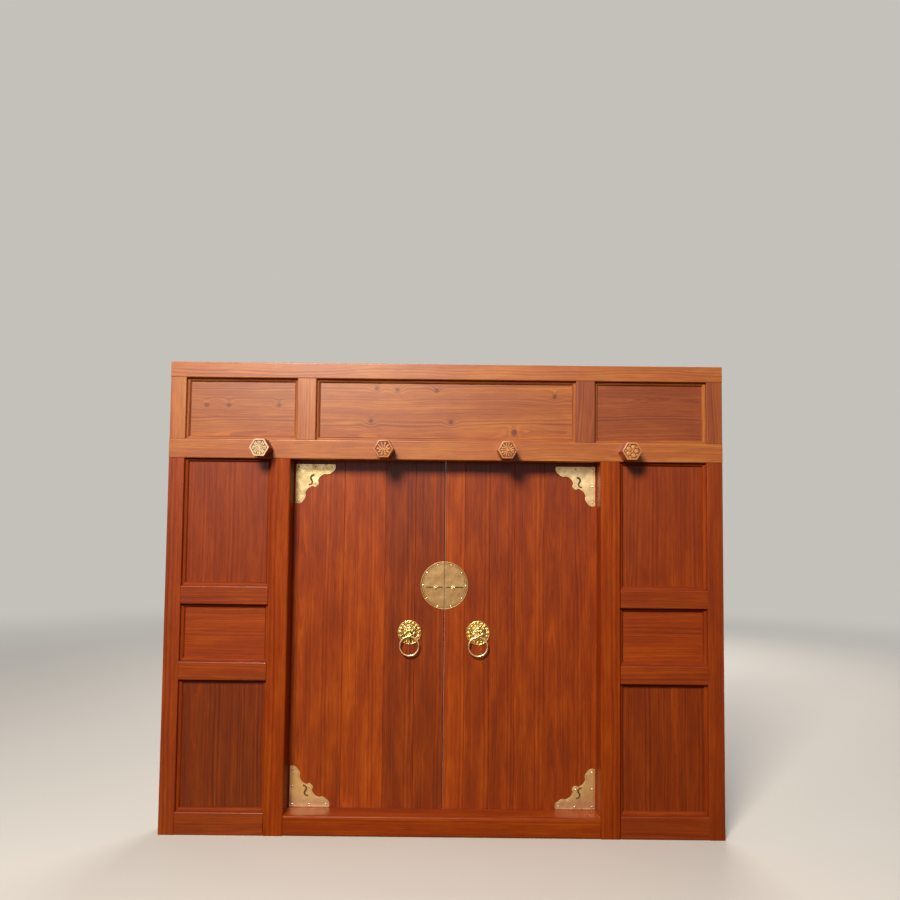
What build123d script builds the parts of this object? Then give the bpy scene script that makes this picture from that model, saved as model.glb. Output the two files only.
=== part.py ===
from build123d import *
import os
from math import cos, pi, radians, sin

os.makedirs("parts", exist_ok=True)

# A pair of plank leaves on vertical wooden pivots, in a jointed timber frame with panelled side
# bays and a panelled transom. +X is to the right seen from the front, the front looks along -Y,
# +Z is up, and the origin is the middle of the threshold's underside. Millimetres.

# Frame
frame_width = 3500
frame_height = 2940
frame_depth = 160
jamb_width = 100
top_rail_height = 100
transom_opening_height = 390
middle_rail_height = 122
door_post_width = 125
door_opening_width = 1960
threshold_height = 124
bottom_rail_height = 138
waist_rail_height = 112
upper_waist_rail_top = 1524
lower_waist_rail_top = 1055
centre_transom_width = 1650
transom_stile_width = 120
light_member_depth = 100

# Joinery of the frame
tenon_length = 50
tenon_thickness = 40
tenon_shoulder = 25
joint_play = 0.4
rail_arris = 6
opening_arris = 12

# Panels and the mitred beads that hold them
panel_recess = 45
panel_thickness = 20
panel_play = 2
bead_width = 22
bead_depth = 20
bead_round = 12
mitre_play = 0.4

# Leaves
leaf_thickness = 60
leaf_setback = 3
leaf_meeting_gap = 4
leaf_side_overlap = 55
leaf_head_overlap = 20
leaf_foot_overlap = 24
pivot_stile_width = 90
board_thickness = 50
board_play = 0.5
board_arris = 1.5
left_board_joints = (190, 385, 650)
right_board_joints = (131, 291, 451, 641)

# Battens let into the backs of the boards
batten_count = 4
batten_inset = 250
batten_height = 90
batten_thickness = 45
batten_housing = 15
batten_edge_gap = 40
batten_flare = 4
batten_tenon_length = 35
batten_tenon_height = 50

# Wooden pivots, the beam that holds their heads and the blocks that carry their feet
pivot_radius = 24
pivot_head_length = 60
pivot_foot_length = 45
pivot_play = 0.3
pivot_beam_gap = 4
pivot_beam_height = 90
pivot_beam_depth = 95
pivot_beam_end = 130
pivot_beam_arris = 14
pillow_block_width = 180
pillow_block_depth = 210
pillow_block_gap = 10
pillow_block_arris = 10
cup_wall = 6
cup_floor = 8

# Carved hexagonal pins
pin_pitch = 768
pin_across_flats = 108
pin_projection = 140
pin_tenon_width = 36
pin_tenon_height = 48
pin_tail = 60
pin_rim = 9
pin_carving_depth = 7
pin_rim_bevel = 4
wedge_thickness = 14
wedge_depth = 26
wedge_taper = 6
wedge_top_length = 52
wedge_foot_length = 32

# Brass plates
plate_thickness = 2.5
corner_leg = 255
corner_tip_width = 50
corner_tip_ease = 3
corner_tip_length = 21
corner_lobe_length = 66
corner_lobe_swell = 2
corner_waist_width = 62
corner_cusp = 141
corner_cusp_lobe = 31
corner_cusp_swell = 6.5
corner_cusp_notch = 2.5
corner_side_gap = 10
corner_head_gap = 26
corner_foot_gap = 2
corner_slit_width = 4
nail_radius = 6
nail_height = 3
nail_inset = 17

# Round lock plate in two halves, and the eye on each half
lock_plate_radius = 153
lock_plate_height = 1529
lock_plate_rim = 6
lock_plate_rim_height = 2
lock_slit_height = 6
lock_slit_drop = 12
lock_slit_inner = 10
lock_slit_outer = 122
lock_eye_spacing = 112
lock_eye_boss_radius = 14
lock_eye_boss_height = 4
lock_eye_thickness = 9
lock_eye_width = 18
lock_eye_reach = 20
lock_eye_hole_radius = 5

# Lion mask knockers and their rings
knocker_spacing = 440
knocker_height = 1228
knocker_radius = 77.5
knocker_rim_radius = 4
knocker_field_height = 4
mask_radius = 52
mask_height = 23
ring_radius = 60.5
ring_wire_radius = 5.5
ring_standoff = 34
ring_drop = 22
mouth_bore_radius = 7.5
muzzle_half_width = 12
muzzle_wall = 5.5
mane_curls = 16
curl_radius = 5.4
curl_wire_radius = 3
curl_knob_radius = 2.2
forehead_curls = 5
forehead_curl_radius = 7
eye_spacing = 33
eye_height = 8
eye_radius = 8
brow_radius = 12.5
brow_wire_radius = 4
brow_sweep = 130
nose_radius = 8
nose_reach = 34
nostril_radius = 5.2
cheek_radius = 15
lip_radius = 11.5
jaw_radius = 9.5
beard_length = 19
beard_radius = 5.5
ear_length = 20
ear_radius = 8.5

# Rear sliding bar
bar_height = 60
bar_depth = 45
bar_length = 640
bar_travel = 170
bar_batten_gap = 77
bar_end_gap = 20
bar_play = 2
keeper_play = 4
bracket_width = 60
bracket_wall = 22
bracket_height = 150
bracket_edge_gap = 68
grip_width = 24
grip_reach = 30
grip_play = 3


# Places worked out from the sizes
front = -frame_depth / 2
back = frame_depth / 2
half_width = frame_width / 2
jamb_inner = half_width - jamb_width
top_rail_bottom = frame_height - top_rail_height
middle_rail_top = top_rail_bottom - transom_opening_height
middle_rail_bottom = middle_rail_top - middle_rail_height
middle_rail_axis = (middle_rail_top + middle_rail_bottom) / 2
opening_half = door_opening_width / 2
post_outer = opening_half + door_post_width
stile_inner = centre_transom_width / 2
stile_outer = stile_inner + transom_stile_width
light_back = front + light_member_depth
panel_front = front + panel_recess
panel_back = panel_front + panel_thickness

leaf_front = back + leaf_setback
leaf_back = leaf_front + leaf_thickness
board_back = leaf_front + board_thickness
leaf_bottom = threshold_height - leaf_foot_overlap
leaf_top = middle_rail_bottom + leaf_head_overlap
leaf_edge = leaf_meeting_gap / 2
pivot_x = opening_half + leaf_side_overlap - leaf_thickness / 2
pivot_y = leaf_front + leaf_thickness / 2
stile_edge = pivot_x + leaf_thickness / 2 - pivot_stile_width

beam_bottom = leaf_top + pivot_beam_gap
beam_top = beam_bottom + pivot_beam_height
beam_back = back + pivot_beam_depth
pin_places = [(i - 1.5) * pin_pitch for i in range(4)]
block_top = leaf_bottom - pillow_block_gap
pivot_foot = leaf_bottom - pivot_foot_length
corner_outer = opening_half - corner_side_gap
plate_front = leaf_front - plate_thickness


def block(x, y, z, mode=Mode.ADD):
    """Add or cut a squared block that fills three spans, each given as (low, high)."""
    with Locations(((x[0] + x[1]) / 2, (y[0] + y[1]) / 2, (z[0] + z[1]) / 2)):
        Box(x[1] - x[0], y[1] - y[0], z[1] - z[0], mode=mode)


def grown(spans, by):
    """Return x, y and z spans that reach further by the given amount at both ends."""
    return [(low - by, high + by) for low, high in spans]


def centred(span, size):
    """Return the span of the given size that shares the middle of another span."""
    middle = (span[0] + span[1]) / 2
    return (middle - size / 2, middle + size / 2)


def both_sides(spans):
    """Return x, y and z spans together with their mirror image across the door's middle."""
    x, y, z = spans
    return [(x, y, z), ((-x[1], -x[0]), y, z)]


def upright_tenons(x, y, z):
    """Return the spans of an upright's lower and upper tenon."""
    across = (x[0] + tenon_shoulder, x[1] - tenon_shoulder)
    deep = centred(y, tenon_thickness)
    return [(across, deep, (z[0] - tenon_length, z[0])), (across, deep, (z[1], z[1] + tenon_length))]


def rail_tenons(x, y, z):
    """Return the spans of a rail's left and right tenon."""
    deep = centred(y, tenon_thickness)
    high = (z[0] + tenon_shoulder, z[1] - tenon_shoulder)
    return [((x[0] - tenon_length, x[0]), deep, high), ((x[1], x[1] + tenon_length), deep, high)]


def timber(spans, run, tenons=(), mortises=(), arris=rail_arris):
    """Make a squared timber with eased front edges, its tenons and its mortises."""
    with BuildPart() as piece:
        block(*spans)
        fillet(piece.faces().sort_by(Axis.Y)[0].edges().filter_by(run), radius=arris)
        for tenon in tenons:
            block(*tenon)
        for mortise in mortises:
            block(*grown(mortise, joint_play), mode=Mode.SUBTRACT)
    return piece.part


def mirrored(piece):
    """Return the piece's mirror image on the other side of the door."""
    return mirror(piece, about=Plane.YZ)


def group(pieces):
    """Return separate solids as one node."""
    return Compound([solid for piece in pieces for solid in piece.solids()])


def on_front(x, y, z):
    """Return the place of a fitting that faces the front, with its own +Z towards the viewer."""
    return Plane(origin=(x, y, z), x_dir=(1, 0, 0), z_dir=(0, -1, 0)).location


def save(name, piece):
    """Label a finished piece and write its file."""
    piece.label = name
    export_step(piece, f"parts/{name}.step")


def save_pair(name, left_piece):
    """Write a left-hand piece and its right-hand mirror image."""
    save(f"left_{name}", left_piece)
    save(f"right_{name}", mirrored(left_piece))


# Frame members, given on the left-hand side where they come in pairs
full_depth = (front, back)
light_depth = (front, light_back)
jamb_spans = ((-half_width, -jamb_inner), full_depth, (0, middle_rail_bottom))
transom_jamb_spans = ((-half_width, -jamb_inner), full_depth, (middle_rail_top, top_rail_bottom))
post_spans = ((-post_outer, -opening_half), full_depth, (0, middle_rail_bottom))
stile_spans = ((-stile_outer, -stile_inner), light_depth, (middle_rail_top, top_rail_bottom))
top_rail_spans = ((-half_width, half_width), full_depth, (top_rail_bottom, frame_height))
middle_rail_spans = ((-half_width, half_width), full_depth, (middle_rail_bottom, middle_rail_top))
threshold_spans = ((-opening_half, opening_half), full_depth, (0, threshold_height))
bay = (-jamb_inner, -post_outer)
bottom_rail_spans = (bay, full_depth, (0, bottom_rail_height))
lower_rail_spans = (bay, light_depth, (lower_waist_rail_top - waist_rail_height, lower_waist_rail_top))
upper_rail_spans = (bay, light_depth, (upper_waist_rail_top - waist_rail_height, upper_waist_rail_top))
bay_rail_spans = (bottom_rail_spans, lower_rail_spans, upper_rail_spans)

pin_mortises = [
    (
        (x - pin_tenon_width / 2, x + pin_tenon_width / 2),
        (front, beam_back),
        centred((middle_rail_bottom, middle_rail_top), pin_tenon_height),
    )
    for x in pin_places
]

transom_uprights = [*both_sides(transom_jamb_spans), *both_sides(stile_spans)]
lower_uprights = [*both_sides(jamb_spans), *both_sides(post_spans)]

save("top_rail", timber(
    top_rail_spans, Axis.X,
    mortises=[upright_tenons(*spans)[1] for spans in transom_uprights],
))
save("middle_rail", timber(
    middle_rail_spans, Axis.X,
    mortises=[
        *[upright_tenons(*spans)[0] for spans in transom_uprights],
        *[upright_tenons(*spans)[1] for spans in lower_uprights],
        *pin_mortises,
    ],
))
save("threshold", timber(
    threshold_spans, Axis.X,
    tenons=rail_tenons(*threshold_spans),
    arris=opening_arris,
))
save_pair("jamb", timber(
    jamb_spans, Axis.Z,
    tenons=upright_tenons(*jamb_spans)[1:],
    mortises=[rail_tenons(*spans)[0] for spans in bay_rail_spans],
))
save_pair("door_post", timber(
    post_spans, Axis.Z,
    tenons=upright_tenons(*post_spans)[1:],
    mortises=[*[rail_tenons(*spans)[1] for spans in bay_rail_spans], rail_tenons(*threshold_spans)[0]],
    arris=opening_arris,
))
save_pair("transom_jamb", timber(transom_jamb_spans, Axis.Z, tenons=upright_tenons(*transom_jamb_spans)))
save_pair("transom_stile", timber(stile_spans, Axis.Z, tenons=upright_tenons(*stile_spans)))
save_pair("bottom_rail", timber(bottom_rail_spans, Axis.X, tenons=rail_tenons(*bottom_rail_spans)))
save_pair("lower_waist_rail", timber(lower_rail_spans, Axis.X, tenons=rail_tenons(*lower_rail_spans)))
save_pair("upper_waist_rail", timber(upper_rail_spans, Axis.X, tenons=rail_tenons(*upper_rail_spans)))


# Panels, each in the opening of its bay
transom_height = (middle_rail_top, top_rail_bottom)
centre_transom_opening = ((-stile_inner, stile_inner), transom_height)
side_transom_opening = ((-jamb_inner, -stile_outer), transom_height)
lower_opening = (bay, (bottom_rail_height, lower_waist_rail_top - waist_rail_height))
middle_opening = (bay, (lower_waist_rail_top, upper_waist_rail_top - waist_rail_height))
upper_opening = (bay, (upper_waist_rail_top, middle_rail_bottom))


def panel(opening):
    """Make the flat board that fills an opening, with play all round for the wood to move."""
    x, z = grown(opening, -panel_play)
    with BuildPart() as board:
        block(x, (panel_front, panel_back), z)
    return board.part


save("centre_transom_panel", panel(centre_transom_opening))
save_pair("transom_panel", panel(side_transom_opening))
save_pair("lower_panel", panel(lower_opening))
save_pair("middle_panel", panel(middle_opening))
save_pair("upper_panel", panel(upper_opening))


def bead_strip(length):
    """Make one mitred strip along X, with its rounded inner edge towards +Y and +Z."""
    with BuildPart() as strip:
        with BuildSketch():
            with BuildLine():
                Polyline(
                    (mitre_play, 0),
                    (length - mitre_play, 0),
                    (length - bead_width - mitre_play, bead_width),
                    (bead_width + mitre_play, bead_width),
                    close=True,
                )
            make_face()
        extrude(amount=bead_depth)
        fillet(strip.faces().sort_by(Axis.Z)[-1].edges().sort_by(Axis.Y)[-1], radius=bead_round)
    return strip.part


def beads(opening):
    """Make the strips that hold a panel, four on its front and four on its back."""
    (left, right), (low, high) = opening
    wide, tall = bead_strip(right - left), bead_strip(high - low)
    strips = []
    for y, outward, flip in ((panel_front, -1, 1), (panel_back, 1, -1)):
        start, end = (left, right) if flip > 0 else (right, left)
        places = (
            (wide, (start, y, low), (flip, 0, 0)),
            (tall, (end, y, low), (0, 0, 1)),
            (wide, (end, y, high), (-flip, 0, 0)),
            (tall, (start, y, high), (0, 0, -1)),
        )
        for strip, corner, run in places:
            strips.append(strip.moved(Plane(origin=corner, x_dir=run, z_dir=(0, outward, 0)).location))
    return strips


side_transom_beads = beads(side_transom_opening)
bay_beads = [*beads(lower_opening), *beads(middle_opening), *beads(upper_opening)]
save("transom_beads", group([
    *beads(centre_transom_opening),
    *side_transom_beads,
    *[mirrored(strip) for strip in side_transom_beads],
]))
save("side_beads", group([*bay_beads, *[mirrored(strip) for strip in bay_beads]]))


# Beam behind the middle rail, with a bore for each pivot's head
beam_half = pin_places[-1] + pivot_beam_end
with BuildPart() as pivot_beam:
    block((-beam_half, beam_half), (back, beam_back), (beam_bottom, beam_top))
    chamfer(pivot_beam.faces().sort_by(Axis.Y)[-1].edges(), length=pivot_beam_arris)
    for mortise in pin_mortises:
        block(*grown(mortise, joint_play), mode=Mode.SUBTRACT)
    with Locations((-pivot_x, pivot_y, beam_bottom), (pivot_x, pivot_y, beam_bottom)):
        Cylinder(
            pivot_radius + pivot_play, pivot_head_length,
            align=(Align.CENTER, Align.CENTER, Align.MIN), mode=Mode.SUBTRACT,
        )
save("pivot_beam", pivot_beam.part)


# Hexagonal pin, built with its carved face towards +Z and its shoulder at z = 0
pin_shank = frame_depth + pivot_beam_depth
carving_floor = pin_projection - pin_carving_depth
petal_ring = pin_across_flats * 0.27
with BuildPart() as pin:
    with BuildSketch():
        RegularPolygon(pin_across_flats / 2, 6, major_radius=False)
    extrude(amount=pin_projection)
    chamfer(pin.faces().sort_by(Axis.Z)[-1].edges(), length=pin_rim_bevel)
    with BuildSketch(Plane.XY.offset(pin_projection)):
        RegularPolygon(pin_across_flats / 2 - pin_rim, 6, major_radius=False)
    extrude(amount=-pin_carving_depth, mode=Mode.SUBTRACT)
    with BuildSketch(Plane.XY.offset(carving_floor)):
        with PolarLocations(petal_ring, 8):
            Ellipse(petal_ring * 0.36, petal_ring * 0.27)
    extrude(amount=pin_carving_depth * 0.8, taper=28)
    with BuildSketch(Plane.XY.offset(carving_floor)):
        with PolarLocations(petal_ring * 0.48, 6):
            Ellipse(petal_ring * 0.22, petal_ring * 0.2)
    extrude(amount=pin_carving_depth, taper=20)
    with Locations((0, 0, carving_floor)):
        Cone(
            petal_ring * 0.3, petal_ring * 0.14, pin_carving_depth,
            align=(Align.CENTER, Align.CENTER, Align.MIN),
        )
    block(
        (-pin_tenon_width / 2, pin_tenon_width / 2),
        (-pin_tenon_height / 2, pin_tenon_height / 2),
        (-pin_shank - pin_tail, 0),
    )
    block(
        (-wedge_thickness / 2, wedge_thickness / 2),
        (-pin_tenon_height, pin_tenon_height),
        (-pin_shank - wedge_depth, -pin_shank),
        mode=Mode.SUBTRACT,
    )

pin_names = ("outer_left_pin", "inner_left_pin", "inner_right_pin", "outer_right_pin")
for name, x in zip(pin_names, pin_places):
    save(name, pin.part.moved(on_front(x, front, middle_rail_axis)))

wedges = []
for x in pin_places:
    with BuildPart() as wedge:
        with BuildSketch(Plane.YZ.offset(x - wedge_thickness / 2 + joint_play)):
            with BuildLine():
                Polyline(
                    (beam_back, middle_rail_axis - wedge_foot_length),
                    (beam_back + wedge_depth - wedge_taper, middle_rail_axis - wedge_foot_length),
                    (beam_back + wedge_depth - joint_play, middle_rail_axis + wedge_top_length),
                    (beam_back, middle_rail_axis + wedge_top_length),
                    close=True,
                )
            make_face()
        extrude(amount=wedge_thickness - 2 * joint_play)
    wedges.append(wedge.part)
save("pin_wedges", group(wedges))


# Blocks behind the door posts, with an iron cup for each pivot's foot
cup_outer = pivot_radius + pivot_play + cup_wall
cup_bottom = pivot_foot - pivot_play - cup_floor
with BuildPart() as pillow_block:
    block(
        (-pivot_x - pillow_block_width / 2, -pivot_x + pillow_block_width / 2),
        (back, back + pillow_block_depth),
        (0, block_top),
    )
    chamfer(pillow_block.faces().sort_by(Axis.Y)[-1].edges(), length=pillow_block_arris)
    with Locations((-pivot_x, pivot_y, cup_bottom)):
        Cylinder(
            cup_outer + joint_play, block_top - cup_bottom,
            align=(Align.CENTER, Align.CENTER, Align.MIN), mode=Mode.SUBTRACT,
        )
save_pair("pillow_block", pillow_block.part)

with BuildPart() as pivot_cup:
    with Locations((-pivot_x, pivot_y, cup_bottom)):
        Cylinder(cup_outer, block_top - cup_bottom, align=(Align.CENTER, Align.CENTER, Align.MIN))
    with Locations((-pivot_x, pivot_y, pivot_foot - pivot_play)):
        Cylinder(
            pivot_radius + pivot_play, block_top - pivot_foot + pivot_play,
            align=(Align.CENTER, Align.CENTER, Align.MIN), mode=Mode.SUBTRACT,
        )
save("pivot_cups", group([pivot_cup.part, mirrored(pivot_cup.part)]))


# Battens and the dovetailed housings that they slide into
batten_spacing = (leaf_top - leaf_bottom - 2 * batten_inset) / (batten_count - 1)
batten_places = [leaf_bottom + batten_inset + i * batten_spacing for i in range(batten_count)]
batten_inner = board_back - batten_housing
batten_outer = batten_inner + batten_thickness
batten_tenon_depth = leaf_back - batten_inner - 2 * batten_flare


def batten_section(z, play):
    """Draw the section of a batten, wider at the bottom of its housing than at its mouth."""
    half = batten_height / 2 - play
    with BuildLine() as outline:
        Polyline(
            (batten_inner + play, z - half - batten_flare),
            (board_back, z - half),
            (batten_outer, z - half),
            (batten_outer, z + half),
            (board_back, z + half),
            (batten_inner + play, z + half + batten_flare),
            close=True,
        )
    make_face(outline.edges())


batten_tenons = [
    (
        (-stile_edge - batten_tenon_length, -stile_edge),
        (batten_inner + batten_flare, batten_inner + batten_flare + batten_tenon_depth),
        (z - batten_tenon_height / 2, z + batten_tenon_height / 2),
    )
    for z in batten_places
]
batten_length = stile_edge - leaf_edge - batten_edge_gap
battens = []
for z, tenon in zip(batten_places, batten_tenons):
    with BuildPart() as batten:
        with BuildSketch(Plane.YZ.offset(-stile_edge)):
            batten_section(z, joint_play)
        extrude(amount=batten_length)
        block(*tenon)
    battens.append(batten.part)
save_pair("battens", group(battens))


def leaf_boards(joints):
    """Make the boards of a left-hand leaf, from the meeting edge to the pivot stile."""
    edges = [leaf_edge, *joints, stile_edge]
    boards = []
    for near, far in zip(edges, edges[1:]):
        with BuildPart() as board:
            block(
                (-far + board_play / 2, -near - (board_play / 2 if near > leaf_edge else 0)),
                (leaf_front, board_back),
                (leaf_bottom, leaf_top),
            )
            front_edges = board.faces().sort_by(Axis.Y)[0].edges().filter_by(Axis.Z)
            chamfer(front_edges, length=board_arris)
            for z in batten_places:
                with BuildSketch(Plane.YZ.offset(-stile_edge)):
                    batten_section(z, 0)
                extrude(amount=batten_length + joint_play, mode=Mode.SUBTRACT)
        boards.append(board.part)
    return group(boards)


save("left_boards", leaf_boards(left_board_joints))
save("right_boards", mirrored(leaf_boards(right_board_joints)))

with BuildPart() as pivot_stile:
    with BuildSketch(Plane.XY.offset(leaf_bottom)):
        with Locations((-pivot_x, pivot_y)):
            Circle(leaf_thickness / 2)
            Rectangle(
                pivot_stile_width - leaf_thickness / 2, leaf_thickness,
                align=(Align.MIN, Align.CENTER),
            )
    extrude(amount=leaf_top - leaf_bottom)
    for tenon in batten_tenons:
        block(*grown(tenon, joint_play), mode=Mode.SUBTRACT)
    with Locations((-pivot_x, pivot_y, leaf_top)):
        Cylinder(
            pivot_radius, pivot_head_length - pivot_beam_gap,
            align=(Align.CENTER, Align.CENTER, Align.MIN),
        )
    with Locations((-pivot_x, pivot_y, pivot_foot)):
        Cylinder(pivot_radius, pivot_foot_length, align=(Align.CENTER, Align.CENTER, Align.MIN))
save_pair("pivot_stile", pivot_stile.part)


# Brass corner plate, drawn for a lower left corner with its legs along +X and +Y
diagonal = Plane(origin=(0, 0, 0), x_dir=(1, 1, 0), z_dir=(1, -1, 0))
tip_start = (corner_leg - corner_tip_ease, 0)
tip_end = (corner_leg - corner_tip_length, corner_tip_width)
lobe_end = (corner_leg - corner_lobe_length, corner_waist_width)
lobe_crown = ((tip_end[0] + lobe_end[0]) / 2, corner_waist_width + corner_lobe_swell)
cusp_root = (corner_cusp, corner_cusp - corner_cusp_lobe)
hollow = (cusp_root[0] * 0.67 + lobe_end[0] * 0.33, lobe_end[1] * 0.62 + cusp_root[1] * 0.38)
cusp_crown = (corner_cusp + corner_cusp_swell, corner_cusp - corner_cusp_lobe / 2)
notch = (corner_cusp - corner_cusp_notch, corner_cusp - corner_cusp_notch)
slit_radius = corner_cusp * 0.13
slit_middle = corner_cusp * 0.72
with BuildPart() as corner_plate:
    with BuildSketch():
        with BuildLine() as half_outline:
            Line((0, 0), tip_start)
            ThreePointArc(tip_start, (corner_leg, corner_tip_width / 2), tip_end)
            ThreePointArc(tip_end, lobe_crown, lobe_end)
            ThreePointArc(lobe_end, hollow, cusp_root)
            ThreePointArc(cusp_root, cusp_crown, notch)
            mirror(about=diagonal)
        make_face()
    extrude(amount=plate_thickness)
    with BuildSketch():
        with Locations((slit_middle, slit_middle)):
            with Locations(Location((0, 0), 45)):
                with Locations((0, slit_radius)):
                    SlotArc(
                        CenterArc((0, 0), slit_radius, -90, 150, mode=Mode.PRIVATE),
                        corner_slit_width,
                    )
                with Locations((0, -slit_radius)):
                    SlotArc(
                        CenterArc((0, 0), slit_radius, 90, 150, mode=Mode.PRIVATE),
                        corner_slit_width,
                    )
    extrude(amount=plate_thickness, mode=Mode.SUBTRACT)

lower_corner_place = on_front(-corner_outer, leaf_front, threshold_height + corner_foot_gap)
upper_corner_place = on_front(-corner_outer, leaf_front, middle_rail_bottom - corner_head_gap)
save_pair("lower_corner_plate", corner_plate.part.moved(lower_corner_place))
save_pair("upper_corner_plate", mirror(corner_plate.part, about=Plane.XZ).moved(upper_corner_place))


# Half of the round lock plate, drawn for the right-hand leaf with its middle at the origin
with BuildPart() as lock_plate:
    with BuildSketch():
        Circle(lock_plate_radius)
        with Locations((leaf_edge, 0)):
            Rectangle(
                lock_plate_radius, 2 * lock_plate_radius,
                align=(Align.MIN, Align.CENTER), mode=Mode.INTERSECT,
            )
    extrude(amount=plate_thickness)
    with BuildSketch(Plane.XY.offset(plate_thickness)):
        Circle(lock_plate_radius)
        Circle(lock_plate_radius - lock_plate_rim, mode=Mode.SUBTRACT)
        with Locations((leaf_edge, 0)):
            Rectangle(
                lock_plate_radius, 2 * lock_plate_radius,
                align=(Align.MIN, Align.CENTER), mode=Mode.INTERSECT,
            )
    extrude(amount=lock_plate_rim_height)
    block(
        (lock_slit_inner, lock_slit_outer),
        centred((-lock_slit_drop, -lock_slit_drop), lock_slit_height),
        (0, plate_thickness),
        mode=Mode.SUBTRACT,
    )
lock_place = on_front(0, leaf_front, lock_plate_height)
right_lock_plate = lock_plate.part.moved(lock_place)
save("right_lock_plate", right_lock_plate)
save("left_lock_plate", mirrored(right_lock_plate))

# Eye that a padlock goes through, seated on the lock plate
eye_centre = lock_eye_reach - lock_eye_width / 2 + lock_eye_boss_height
with BuildPart() as lock_eye:
    Cylinder(
        lock_eye_boss_radius, lock_eye_boss_height,
        align=(Align.CENTER, Align.CENTER, Align.MIN),
    )
    with BuildSketch(Plane.YZ):
        with Locations((0, eye_centre)):
            Circle(lock_eye_width / 2)
        Rectangle(lock_eye_width, eye_centre, align=(Align.CENTER, Align.MIN))
        with Locations((0, eye_centre)):
            Circle(lock_eye_hole_radius, mode=Mode.SUBTRACT)
    extrude(amount=lock_eye_thickness / 2, both=True)
right_lock_eye = lock_eye.part.moved(
    on_front(lock_eye_spacing / 2, plate_front, lock_plate_height - lock_slit_drop)
)
save("right_lock_eye", right_lock_eye)
save("left_lock_eye", mirrored(right_lock_eye))


# Lion mask, built with its face towards +Z; the ring's wire lies in the mouth, along X
mouth = (-ring_drop, ring_standoff)
muzzle_radius = mouth_bore_radius + muzzle_wall
rim_root = knocker_radius - 2 * knocker_rim_radius
mane_radius = (rim_root + mask_radius) / 2
eye_x = eye_spacing / 2
face_level = mask_height * 0.8


def pointed(place, lean, turn, radius, length):
    """Add a pointed lock or ear that starts at a place and leans away from the board."""
    with Locations(Location(place, (lean, 0, turn))):
        Cone(radius, radius * 0.2, length, align=(Align.CENTER, Align.CENTER, Align.MIN))


with BuildPart() as knocker:
    with BuildSketch(Plane.XZ):
        with BuildLine():
            Line((0, 0), (knocker_radius, 0))
            Line((knocker_radius, 0), (knocker_radius, knocker_rim_radius))
            ThreePointArc(
                (knocker_radius, knocker_rim_radius),
                (knocker_radius - knocker_rim_radius, 2 * knocker_rim_radius),
                (rim_root, knocker_field_height),
            )
            Line((rim_root, knocker_field_height), (mask_radius, knocker_field_height))
            ThreePointArc(
                (mask_radius, knocker_field_height),
                (mask_radius * 0.62, mask_height * 0.72),
                (0, mask_height),
            )
            Line((0, mask_height), (0, 0))
        make_face()
    revolve(axis=Axis.Z)
    with PolarLocations(mane_radius, mane_curls):
        with Locations((0, 0, knocker_field_height)):
            Torus(curl_radius, curl_wire_radius)
            Sphere(curl_knob_radius)
    with Locations((0, 0, mask_height / 2)):
        with PolarLocations(mask_radius * 0.88, forehead_curls, start_angle=50, angular_range=80, endpoint=True):
            Sphere(forehead_curl_radius)
    for side in (-1, 1):
        with Locations((side * eye_x, eye_height, face_level)):
            Sphere(eye_radius)
        with Locations(Location((side * eye_x, eye_height, face_level + brow_wire_radius), (0, 0, 25))):
            Torus(brow_radius, brow_wire_radius, major_angle=brow_sweep)
        with Locations((side * nostril_radius * 1.5, -nostril_radius, nose_reach - nostril_radius)):
            Sphere(nostril_radius)
        with Locations((side * (eye_x + nostril_radius * 2), -nose_radius, knocker_field_height * 2)):
            Sphere(cheek_radius)
        with Locations((side * lip_radius, -lip_radius * 1.2, mouth[1] - lip_radius * 0.6)):
            Sphere(lip_radius)
        pointed(
            (side * mask_radius * 0.62, mask_radius * 0.42, mask_height / 2),
            -72, -side * 45, ear_radius, ear_length,
        )
    with Locations((0, -nose_radius / 2, nose_reach - nose_radius)):
        Sphere(nose_radius)
    with Locations(Location((0, -nose_radius / 2, nose_reach - nose_radius), (-118, 0, 0))):
        Cone(nose_radius, nose_radius / 2, mask_radius / 2, align=(Align.CENTER, Align.CENTER, Align.MIN))
    with Locations((0, mouth[0] - muzzle_radius, mask_height * 0.7)):
        Sphere(jaw_radius)
    for turn in (-50, -25, 0, 25, 50):
        pointed(
            (mask_radius * 0.75 * sin(radians(turn)), -mask_radius * 0.75 * cos(radians(turn)), mask_height * 0.4),
            80, turn, beard_radius, beard_length,
        )
    with BuildSketch(Plane.YZ):
        with Locations(mouth):
            Circle(muzzle_radius)
        with Locations((mouth[0], 0)):
            Rectangle(2 * muzzle_radius, mouth[1], align=(Align.CENTER, Align.MIN))
    extrude(amount=muzzle_half_width, both=True)
    with BuildSketch(Plane.YZ):
        with Locations(mouth):
            Circle(mouth_bore_radius)
    extrude(amount=knocker_radius / 2, both=True, mode=Mode.SUBTRACT)
    split(bisect_by=Plane.XY)
right_knocker_place = on_front(knocker_spacing / 2, leaf_front, knocker_height)
right_knocker = knocker.part.moved(right_knocker_place)
save("right_knocker", right_knocker)
save("left_knocker", mirrored(right_knocker))

with BuildPart() as knocker_ring:
    with Locations((0, -ring_drop - ring_radius, ring_standoff)):
        Torus(ring_radius, ring_wire_radius)
right_ring = knocker_ring.part.moved(right_knocker_place)
save("right_ring", right_ring)
save("left_ring", mirrored(right_ring))


# Nail heads on the plates of one leaf
nail_dome_radius = (nail_radius**2 + nail_height**2) / (2 * nail_height)
with BuildPart() as nail:
    with Locations((0, 0, nail_height - nail_dome_radius)):
        Sphere(nail_dome_radius)
    split(bisect_by=Plane.XY)

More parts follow.
